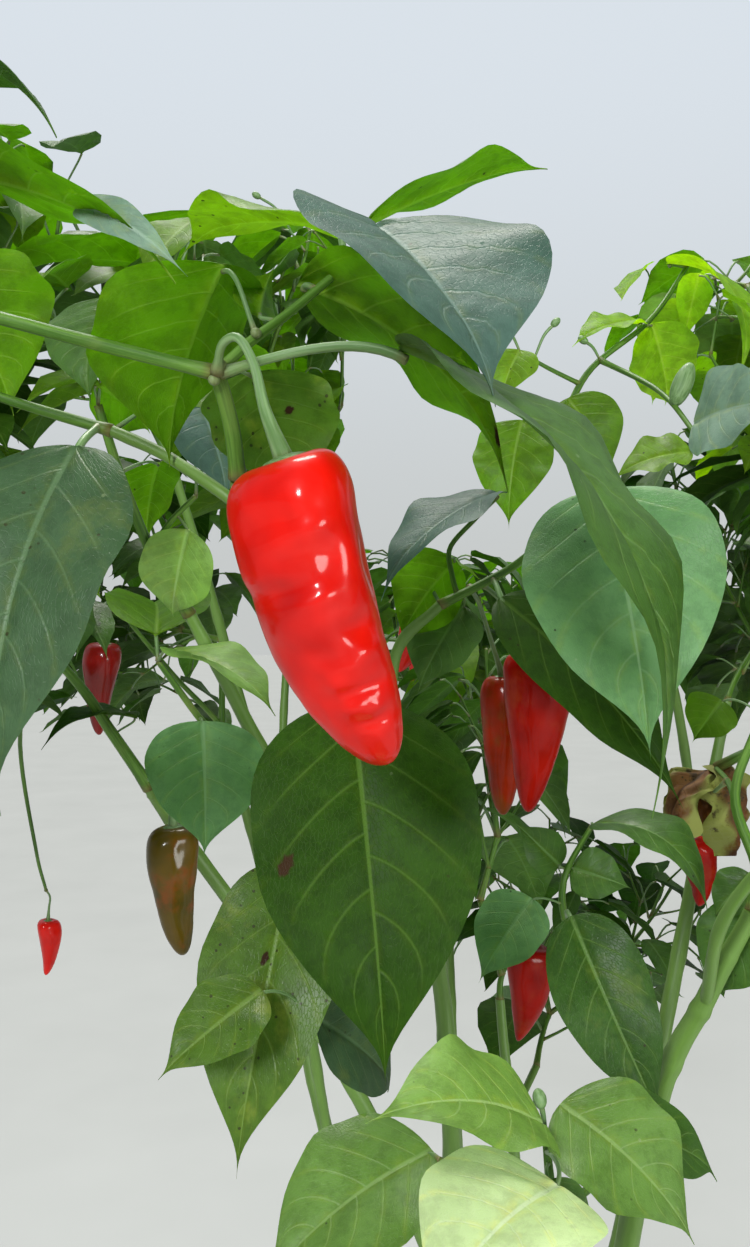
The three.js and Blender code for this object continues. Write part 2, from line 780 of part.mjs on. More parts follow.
        [519, 1038, 680],
        27,
        0.03,
      ),
    ],
    grows: { heart: at(10, 85, 780), reach: 120, seed: 52 },
  },
  spray_low_back: {
    bough: "bough_low_back",
    twigs: [],
    leaves: [],
    pods: [],
    grows: { heart: at(75, 245, 650), reach: 120, seed: 61 },
  },
  spray_low_right: {
    bough: "bough_low_right",
    twigs: [],
    leaves: [],
    pods: [],
    grows: { heart: at(270, 10, 670), reach: 125, seed: 67 },
  },
};

// What the plant already holds: rods stand for limbs, twigs and pods, and blades for leaves.
const held = { rods: [], blades: [] };

function rodOf(points, radius, owner) {
  const middle = points.reduce((sum, point) => sum.add(point), at(0, 0, 0)).divideScalar(points.length);
  const reach = Math.max(...points.map((point) => point.distanceTo(middle)));
  return { points, radius, owner, middle, reach };
}

// Where a point lies over a blade: how far along it, across it and above it
function placeOver(blade, point) {
  const arm = point.clone().sub(blade.base);
  const share = arm.dot(blade.way) / blade.length;
  const across = arm.dot(blade.side);
  const bowed = blade.bow * arc(blade, clamped(share, 0, 1));
  return { share, across, high: arm.dot(blade.over) - bowed - blade.fold * Math.abs(across) };
}

function inOutline(blade, share, across) {
  if (share < -0.02 || share > 1.02) return false;
  return Math.abs(across) < (blade.width / 2) * outline(share) + CLEAR / 2;
}

function chainCrosses(chain, blade) {
  const marks = chain.map((point) => placeOver(blade, point));
  return marks.some((here, i) => {
    if (Math.abs(here.high) < CLEAR && inOutline(blade, here.share, here.across)) return true;
    const next = marks[i + 1];
    if (!next || here.high * next.high >= 0) return false;
    const cut = here.high / (here.high - next.high);
    const share = here.share + (next.share - here.share) * cut;
    return inOutline(blade, share, here.across + (next.across - here.across) * cut);
  });
}

function bladeChains(blade) {
  const shares = [0.02, 0.2, 0.4, 0.6, 0.8, 1];
  return [-1, 0, 1].map((across) => shares.map((share) => onBlade(blade, share, across)));
}

function bladesCross(a, b) {
  if (middleOf(a).distanceTo(middleOf(b)) > (a.length + b.length) * 0.6) return false;
  const crosses = (one, other) => bladeChains(one).some((chain) => chainCrosses(chain, other));
  return crosses(a, b) || crosses(b, a);
}

function distanceTo(chain, point) {
  let nearest = Infinity;
  for (let i = 0; i + 1 < chain.length; i += 1) {
    const step = chain[i + 1].clone().sub(chain[i]);
    const share = point.clone().sub(chain[i]).dot(step) / Math.max(step.lengthSq(), 1e-6);
    const foot = from(chain[i], step, clamped(share, 0, 1));
    nearest = Math.min(nearest, point.distanceTo(foot));
  }
  return nearest;
}

function rodMeetsBlade(rod, blade) {
  const far = rod.middle.distanceTo(middleOf(blade)) - rod.reach - rod.radius - CLEAR;
  if (far > blade.length * 0.62) return false;
  if (chainCrosses(rod.points, blade)) return true;
  const edge = bladeChains(blade).flat();
  return edge.some((point) => distanceTo(rod.points, point) < rod.radius + CLEAR);
}

function chainMeetsRod(chain, radius, rod) {
  const gap = radius + rod.radius + CLEAR;
  const near = chain.some((point) => point.distanceTo(rod.middle) < rod.reach + gap + TWIG_LENGTH);
  if (!near) return false;
  const closer = (line, points) => points.some((point) => distanceTo(line, point) < gap);
  return closer(rod.points, chain) || closer(chain, rod.points);
}

// The rule: a stem runs into the mass's space and forks in three, then each twig forks in two.
const FORKS = [3, 2, 0];
const SPREAD = [0.55, 0.9]; // between a twig and what it carries, in radians
const SHORTER = 0.82; // each rank beside the one before
const TWIG_VARIES = [0.85, 1.1];
const TWIG_RISE = 0.15;
const TWIG_REACH = 0.85; // of the mass's reach
const PROBES = [0.3, 0.5, 0.75, 1]; // where a new twig is tested
const LEAF_SHARES = [[0.6, 1], [0.55, 1], [0.45, 0.8, 1, 1]];
const LEAF_SIZES = [1.05, 1, 0.86];
const LEAF_TRIES = 6;
const LEAF_VARIES = [0.82, 1.14];
const WIDTH_VARIES = [0.88, 1.12];
const STALK_VARIES = [0.75, 1.25];
const STALK_SLANT = 0.7; // along the twig for each step out
const STALK_RISE = 0.35;
const DROOP = [0.25, 1.25];
const LEAN = 0.5;
const BOWS = [0.04, 0.13];
const FOLDS = [0.12, 0.3];
const GOLDEN_ANGLE = 2.4;
const POD_VARIES = [0.8, 1.15];
const POD_CREST = { out: 9, up: 5 };
const POD_SHOULDER = { out: 17, up: -16 };

function growTwig(mass, start, way, length, rank, seed, parent) {
  const draw = new Draw(seed);
  const twist = draw.between(0, 2 * Math.PI);
  const end = from(start, way, length);
  const chain = PROBES.map((share) => between(start, end, share));
  if (rank > 0 && end.distanceTo(mass.grows.heart) > mass.grows.reach * TWIG_REACH) return;
  if (chain.some(spoilsTheView)) return;
  if (held.blades.some((blade) => chainCrosses(chain, blade))) return;
  const strangers = held.rods.filter((rod) => rod !== parent);
  if (strangers.some((rod) => chainMeetsRod(chain, TWIG_RADII[rank], rod))) return;
  const rod = rodOf([start, end], TWIG_RADII[rank], mass.name);
  const radii = TWIG_RADII.slice(rank, rank + 2);
  held.rods.push(rod);
  mass.grown.push({ points: [start, end], radii, rank, way, twist, seed, rod });
  for (let k = 0; k < FORKS[rank]; k += 1) {
    const aside = turned(squareTo(UP, way), way, twist + (2 * Math.PI * k) / FORKS[rank]);
    const next = unit(from(from(way, aside, Math.tan(draw.between(...SPREAD))), UP, TWIG_RISE));
    const further = TWIG_LENGTH * SHORTER ** rank * draw.between(...TWIG_VARIES);
    growTwig(mass, end, next, further, rank + 1, seed * 5 + k + 1, rod);
  }
}

function growTwigs(mass) {
  const { heart, reach, seed } = mass.grows;
  const last = mass.twigs.at(-1) ?? BOUGHS[mass.bough];
  const start = last.points.at(-1);
  const way = unit(heart.clone().sub(start));
  const length = Math.max(TWIG_LENGTH * 0.5, start.distanceTo(heart) - reach * 0.4);
  const parent = held.rods.find((rod) => rod.points.at(-1).distanceTo(start) < 1);
  growTwig(mass, start, way, length, 0, seed, parent);
}

// A grown leaf stands out from its twig on its stalk, and its blade droops with its face up.
function grownBlade(root, way, turn, size, draw) {
  const out = turned(squareTo(UP, way), way, turn);
  const stalk = unit(from(from(out, way, STALK_SLANT), UP, STALK_RISE));
  const base = from(root, stalk, STALK_LENGTH * draw.between(...STALK_VARIES));
  const flat = squareTo(from(stalk, at(base.x, base.y, 0).normalize(), 0.6), UP);
  const hang = unit(from(flat, UP, -draw.between(...DROOP)));
  const length = LEAF_LENGTH * size * draw.between(...LEAF_VARIES);
  const lean = from(from(UP, flat, LEAN), cross(flat, UP), draw.between(-LEAN, LEAN));
  const width = length * LEAF_WIDTH_SHARE * draw.between(...WIDTH_VARIES);
  const bow = draw.between(...BOWS);
  const fold = draw.between(...FOLDS);
  const tip = from(base, hang, length);
  return bladeOf({ root, base, tip, face: squareTo(lean, hang), width, bow, fold });
}

function leafFits(mass, candidate, own) {
  const edge = bladeChains(candidate).flat();
  const { heart, reach } = mass.grows;
  if (edge.some((point) => point.distanceTo(heart) > reach || spoilsTheView(point))) return false;
  if (held.blades.some((blade) => bladesCross(candidate, blade))) return false;
  if (held.blades.some((blade) => chainCrosses([candidate.root, candidate.base], blade))) return false;
  return !held.rods.some((rod) => rod !== own && rodMeetsBlade(rod, candidate));
}

function growLeaf(mass, { points, rank, way, twist, seed, rod }, slot) {
  const draw = new Draw(seed + 1000 * (slot + 1));
  const root = between(points[0], points[1], LEAF_SHARES[rank][slot]);
  for (let attempt = 0; attempt < LEAF_TRIES; attempt += 1) {
    const turn = twist + 1.1 + GOLDEN_ANGLE * (slot + attempt);
    const candidate = grownBlade(root, way, turn, LEAF_SIZES[rank], draw);
    if (!leafFits(mass, candidate, rod)) continue;
    mass.blades.push(candidate);
    held.blades.push(candidate);
    return;
  }
}

function growLeaves(mass) {
  for (const grown of mass.grown) {
    LEAF_SHARES[grown.rank].forEach((_, slot) => growLeaf(mass, grown, slot));
  }
}

// A grown pod hangs from a fork.
function growPods(mass) {
  const forks = mass.grown.filter(({ rank }) => rank === 1);
  for (const { points, way, twist, seed } of forks.slice(0, 1)) {
    const draw = new Draw(seed + 2000);
    const fork = points.at(-1);
    const out = squareTo(turned(squareTo(UP, way), way, twist + 0.5), UP);
    const crest = from(from(fork, out, POD_CREST.out), UP, POD_CREST.up);
    const top = from(from(fork, out, POD_SHOULDER.out), UP, POD_SHOULDER.up);
    const length = POD_LENGTH * draw.between(...POD_VARIES);
    const lean = from(from(UP.clone().negate(), out, draw.between(0, 0.3)), way, draw.between(-0.15, 0.15));
    const tip = from(top, unit(lean), length);
    const width = POD_WIDTH * draw.between(0.85, 1.1);
    const fruit = { fork, crest, top, tip, width, curve: draw.between(0, 0.04) };
    const body = rodOf([top, between(top, tip, 0.5), tip], width / 2, mass.name);
    if (body.points.some(spoilsTheView)) continue;
    if (held.blades.some((blade) => rodMeetsBlade(body, blade))) continue;
    if (held.rods.some((rod) => chainMeetsRod(body.points.slice(1), width / 2, rod))) continue;
    mass.fruits.push(fruit);
    held.rods.push(body);
  }
}

// First all that is placed is held, then twigs, pods and leaves are grown on every mass in turn.
const limbs = limbSolids();
for (const [name, limb] of Object.entries({ stem: STEM, ...BOUGHS })) {
  held.rods.push(rodOf(smoothLine(limb.points).getPoints(14), limb.radii[0], name));
}

const masses = Object.entries(MASSES).map(([name, mass]) => {
  const [first, ...others] = mass.twigs;
  const tip = BOUGHS[mass.bough].points.at(-1);
  const twigs = first ? [{ ...first, points: [tip, ...first.points] }, ...others] : [];
  const placed = mass.leaves.map((entry) => placedBlade(entry, twigs));
  for (const { points, radii } of twigs) {
    held.rods.push(rodOf(smoothLine(points).getPoints(10), radii[0], name));
  }
  for (const { path, top, tip: end, width } of mass.pods) {
    held.rods.push(rodOf([top, between(top, end, 0.5), end], width / 2, name));
    held.rods.push(rodOf([...path, top], PEDICEL_RADIUS, name));
  }
  held.blades.push(...placed);
  return { ...mass, name, twigs, placed, grown: [], blades: [], fruits: [] };
});

const growing = masses.filter((mass) => mass.grows);
growing.forEach(growTwigs);
growing.forEach(growPods);
growing.forEach(growLeaves);

// The solids of a mass, first those that are placed and then those that are grown
function placedSolids({ twigs, placed, pods }) {
  return [
    ...twigs.map((entry) => tube(entry, 3, entry.points.length)),
    ...placed.map((entry) => leafSolid(entry, entry.width > BROAD ? BROAD_STATIONS : NARROW_STATIONS)),
    ...pods.map((entry) => pedicelSolid(entry, 4, 4)),
  ];
}

function grownSolids({ grown, blades, fruits }) {
  return [
    ...grown.map((entry) => tube(entry, 3, 1)),
    ...fruits.map((entry) => grownPodSolid(entry, 5)),
    ...blades.map((entry) => leafSolid(entry, GROWN_STATIONS)),
  ];
}

const boxesMeet = (a, b) => [0, 1, 2].every((k) => a.min[k] < b.max[k] && b.min[k] < a.max[k]);

function touches(solid, others) {
  const box = solid.boundingBox();
  return others.some((other) => boxesMeet(box, other.boundingBox()) && solid.intersect(other).volume() > 0);
}

const solids = new Map(Object.entries(limbs).map(([name, limb]) => [name, [limb.solid]]));
for (const mass of masses) {
  solids.set(mass.name, placedSolids(mass));
  for (const entry of mass.pods) solids.set(entry.name, [podSolid(entry, POD_SIDES)]);
}
for (const mass of masses) {
  const strangers = [...solids].filter(([name]) => name !== mass.name && name !== mass.bough);
  const others = strangers.flatMap(([, list]) => list);
  solids.get(mass.name).push(...grownSolids(mass).filter((solid) => !touches(solid, others)));
}

// One mesh for each limb, mass and pod, with its colour
const FINISHES = {
  bark: { color: 0x8a8466, roughness: 0.85 },
  stalk: { color: 0x6f8f3f, roughness: 0.6 },
  foliage: { color: 0x4f8a35, roughness: 0.55 },
  ripe: { color: 0xd3120c, roughness: 0.18 },
  ripening: { color: 0x8f1f12, roughness: 0.22 },
  turning: { color: 0x8c4a14, roughness: 0.22 },
};

function meshOf(name, solid, finish) {
  const { vertProperties, triVerts } = solid.getMesh();
  const geometry = new THREE.BufferGeometry();
  geometry.setAttribute("position", new THREE.BufferAttribute(new Float32Array(vertProperties), 3));
  geometry.setIndex(new THREE.BufferAttribute(new Uint32Array(triVerts), 1));
  geometry.computeVertexNormals();
  const mesh = new THREE.Mesh(geometry, new THREE.MeshStandardMaterial(FINISHES[finish]));
  mesh.name = name;
  return mesh;
}

const plant = new THREE.Group();
for (const [name, limb] of Object.entries(limbs)) {
  plant.add(meshOf(name, limb.solid, name === "stem" ? "bark" : "stalk"));
}
for (const mass of masses) {
  const whole = joined(solids.get(mass.name)).subtract(limbs[mass.bough].grown).simplify(FINENESS);
  plant.add(meshOf(mass.name, largestPiece(whole), "foliage"));
  for (const entry of mass.pods) plant.add(meshOf(entry.name, solids.get(entry.name)[0], entry.colour));
}

export default plant;
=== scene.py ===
# %% [markdown]
# A chilli pepper plant in fruit: woody at the foot, green above, with broad pointed leaves on thin
# forking twigs and glossy hanging pods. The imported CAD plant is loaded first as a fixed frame. All
# that is modelled here lies where the CAD solids lie, so the part keeps its size while every solid
# that stood for a limb, a spray or a pod is replaced by a detailed one.

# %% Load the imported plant
import math

import bpy
import numpy as np
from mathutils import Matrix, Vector, noise


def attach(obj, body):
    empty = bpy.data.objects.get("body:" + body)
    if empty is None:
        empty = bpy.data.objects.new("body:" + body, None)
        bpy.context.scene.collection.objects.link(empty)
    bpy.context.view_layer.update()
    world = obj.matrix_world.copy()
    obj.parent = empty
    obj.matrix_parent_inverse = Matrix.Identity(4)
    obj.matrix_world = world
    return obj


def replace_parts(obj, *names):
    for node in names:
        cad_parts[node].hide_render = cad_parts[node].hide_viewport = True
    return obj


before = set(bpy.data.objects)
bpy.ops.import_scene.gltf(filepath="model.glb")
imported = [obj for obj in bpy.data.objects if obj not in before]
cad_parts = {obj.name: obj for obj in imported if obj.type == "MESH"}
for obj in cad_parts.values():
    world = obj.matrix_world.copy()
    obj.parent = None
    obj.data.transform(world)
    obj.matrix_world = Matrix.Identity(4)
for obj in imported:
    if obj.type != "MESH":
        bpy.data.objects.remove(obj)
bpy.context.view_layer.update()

print("CAD nodes:", len(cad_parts))

# %% [markdown]
# Places on a plant in a picture are best given as they are seen: so far across, so far down, and so
# far off from the eye. They could be typed as plain coordinates too, but a sighting can be checked
# against the picture at a glance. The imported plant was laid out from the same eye, so a sighting
# gives the same point in both. All is worked out in millimetres, and made in metres at the very end.

# %% The eye, sightings and the work on vectors
MM = 0.001
EYE = np.array([-65.0, -560.0, 900.0])
PICTURE_WIDTH, PICTURE_HEIGHT, FOCUS, MARGIN = 750, 1247, 1080, 25
UP = np.array([0.0, 0.0, 1.0])


def at(x, y, z):
    return np.array([x, y, z], float)


def seen(across, down, off):
    right = (across - PICTURE_WIDTH / 2) * off / FOCUS
    lower = (down - PICTURE_HEIGHT / 2) * off / FOCUS
    return EYE + at(right, off, -lower)


def sight_of(points):
    off = points[..., 1] - EYE[1]
    scale = FOCUS / np.maximum(off, 1)
    across = PICTURE_WIDTH / 2 + (points[..., 0] - EYE[0]) * scale
    down = PICTURE_HEIGHT / 2 - (points[..., 2] - EYE[2]) * scale
    return across, down, off


def unit(vector):
    return vector / np.linalg.norm(vector, axis=-1, keepdims=True)


def dot(a, b):
    return (a * b).sum(axis=-1)


def square_to(vector, way):
    left = vector - way * dot(vector, way)
    size = np.linalg.norm(left)
    return left / size if size > 0.05 else square_to(np.roll(way, -1), way)


def turned(vector, axis, angle):
    around = vector * math.cos(angle) + np.cross(axis, vector) * math.sin(angle)
    return around + axis * dot(axis, vector) * (1 - math.cos(angle))


def spline(points, shares):
    """A smooth line through the points, at shares of its way."""
    line = np.asarray(points, float)
    line = np.vstack([2 * line[0] - line[1], line, 2 * line[-1] - line[-2]])
    place = np.clip(np.asarray(shares, float), 0, 1) * (len(line) - 3)
    index = np.minimum(place.astype(int), len(line) - 4)
    t = (place - index)[:, None]
    before, here, there, after = (line[index + step] for step in range(4))
    leave, arrive = (there - before) / 2, (after - here) / 2
    cubic = (2 * here - 2 * there + leave + arrive) * t**3
    square = (-3 * here + 3 * there - 2 * leave - arrive) * t**2
    return cubic + square + leave * t + here


def line_of(points, steps):
    return spline(points, np.linspace(0, 1, steps + 1))


def line_length(points):
    return np.linalg.norm(np.diff(line_of(points, 40), axis=0), axis=1).sum()


print("the great pod's shoulder is at", np.round(seen(284, 458, 249), 1), "mm")

# %% [markdown]
# The limbs of the plant: one woody stem, the green boughs that fork from it, and the boughs that
# these carry. Each is a few points with a radius at its foot and one at its tip, because a limb
# always tapers outwards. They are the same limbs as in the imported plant, so the skins that are made
# from them later lie where its solids lie.

# %% The stem and the boughs
STEM_HEIGHT = 272
STEM = {
    "points": [at(0, 0, 0), at(-3, -4, 90), at(3, -8, 180), at(0, -8, STEM_HEIGHT)],
    "radii": (13, 9.5),
    "flare": 9,
    "flare_height": 34,
    "lobes": 5,
}
FORK = at(0, -8, 268)
FRONT_FORK = at(-22, -12, 545)
CENTRE_FORK = seen(392, 762, 470)


def limb(points, foot, tip):
    return {"points": points, "radii": (foot, tip)}


BOUGHS = {
    "bough_front": limb([FORK, at(-9, -14, 400), FRONT_FORK], 7.6, 5.6),
    "bough_right": limb(
        [
            FORK, at(26, -34, 400), at(36, -78, 560), seen(655, 1110, 450), seen(705, 1000, 430),
            seen(752, 912, 420),
        ],
        7, 3.2,
    ),
    "bough_back_left": limb(
        [FORK, at(-34, 44, 400), at(-88, 104, 560), at(-128, 146, 700), at(-160, 170, 800)],
        7, 3,
    ),
    "bough_back_right": limb(
        [FORK, at(40, 36, 420), at(96, 84, 600), at(138, 116, 760), at(160, 130, 850)],
        7.2, 3,
    ),
    "bough_back": limb(
        [FORK, at(-6, 74, 410), at(-12, 150, 560), at(-14, 205, 700), at(-10, 235, 790)],
        6.4, 2.8,
    ),
    "bough_inner": limb([FORK, at(10, 22, 420), at(16, 52, 560), at(8, 72, 680)], 5.6, 2.8),
    "bough_centre": limb(
        [FRONT_FORK, seen(449, 1085, 525), seen(440, 980, 520), seen(416, 850, 495), CENTRE_FORK],
        5, 3.2,
    ),
    "bough_left": limb(
        [FRONT_FORK, at(-62, -16, 640), seen(300, 1000, 540), seen(175, 825, 520), seen(150, 788, 512)],
        4.6, 3.2,
    ),
    "bough_fork": limb(
        [CENTRE_FORK, seen(345, 690, 400), seen(300, 600, 330), seen(247, 505, 284), seen(238, 478, 272)],
        3, 2.1,
    ),
    "bough_right_middle": limb([CENTRE_FORK, seen(396, 655, 462), seen(440, 605, 460)], 2.7, 2.2),
    "bough_left_middle": limb(
        [
            seen(428, 930, 508), seen(340, 850, 480), seen(275, 770, 450), seen(225, 680, 430),
            seen(190, 615, 420),
        ],
        3.2, 2.5,
    ),
    "bough_left_heart": limb([seen(272, 766, 449), seen(245, 750, 441), seen(222, 742, 438)], 2.1, 1.8),
    "bough_left_front": limb(
        [seen(256, 521, 289), seen(225, 495, 288), seen(165, 455, 296), seen(112, 431, 298)],
        1.8, 1.6,
    ),
    "bough_centre_front": limb([seen(388, 772, 471), seen(360, 752, 420), seen(346, 716, 368)], 2.4, 2),
    "bough_right_inner": limb([seen(655, 1118, 450), seen(610, 1030, 468), seen(568, 930, 484)], 2.6, 2),
    "bough_right_front": limb([seen(705, 1004, 431), at(60, -180, 800), at(84, -222, 850)], 2.6, 2.1),
    "bough_low_front": limb(
        [at(-19, -14, 505), at(-15, -90, 580), at(-10, -170, 655), seen(560, 1262, 335)],
        3.8, 2.4,
    ),
    "bough_low_right": limb([at(26, -34, 400), at(110, -22, 500), at(190, 0, 590)], 4.2, 2.6),
    "bough_low_back": limb([at(-11, 130, 520), at(24, 168, 560), at(48, 196, 590)], 3, 2.4),
    "bough_top_right": limb(
        [at(138, 116, 760), at(112, 98, 880), at(62, 66, 965), seen(560, 428, 606)],
        3, 2.2,
    ),
    "bough_top_left": limb(
        [at(-94, 110, 580), at(-120, 70, 760), at(-150, 30, 900), at(-172, 6, 985)],
        3.4, 2.3,
    ),
    "bough_top_back": limb([at(-128, 146, 700), at(-126, 168, 850), at(-118, 182, 945)], 3, 2.2),
}
longest = max(BOUGHS, key=lambda name: line_length(BOUGHS[name]["points"]))
print("longest bough:", longest, round(line_length(BOUGHS[longest]["points"])), "mm")

# %% [markdown]
# A mass of foliage is what one bough carries. It is written down as the twigs that branch in it, the
# leaves from base to tip with their width and the way they face, and the pods with their arching
# stalks. A leaf that is rolled by over 90 degrees shows its pale underside. Each leaf also has a
# tone, because young, old, shaded and specked leaves differ a lot on one plant. Some tones are
# painted light: lighter copies of a leaf colour that stand in for the sun or for the shine of the sky.


# %% The masses of foliage
def leaf(tone, base, tip, width, roll, bow=0.1, fold=0.2, root=None, face=None):
    return {
        "tone": tone,
        "base": seen(*base),
        "tip": seen(*tip),
        "width": width,
        "roll": roll,
        "bow": bow,
        "fold": fold,
        "anchor": seen(*(root or base)),
        "face": face,
    }


def twig(path, foot, tip):
    return {"points": [seen(*sighting) for sighting in path], "radii": (foot, tip)}


def pod(name, path, top, tip, width, curve):
    points = [seen(*sighting) for sighting in path]
    top, tip = seen(*top), seen(*tip)
    return {"name": name, "path": points, "top": top, "tip": tip, "width": width, "curve": curve}


def mass(bough, twigs=(), leaves=(), pods=(), grows=None, tones=("mid",)):
    return {
        "bough": bough,
        "twigs": list(twigs),
        "leaves": list(leaves),
        "pods": list(pods),
        "grows": grows,
        "tones": tones,
    }


def growth(heart, reach, seed):
    return {"heart": at(*heart), "reach": reach, "seed": seed}


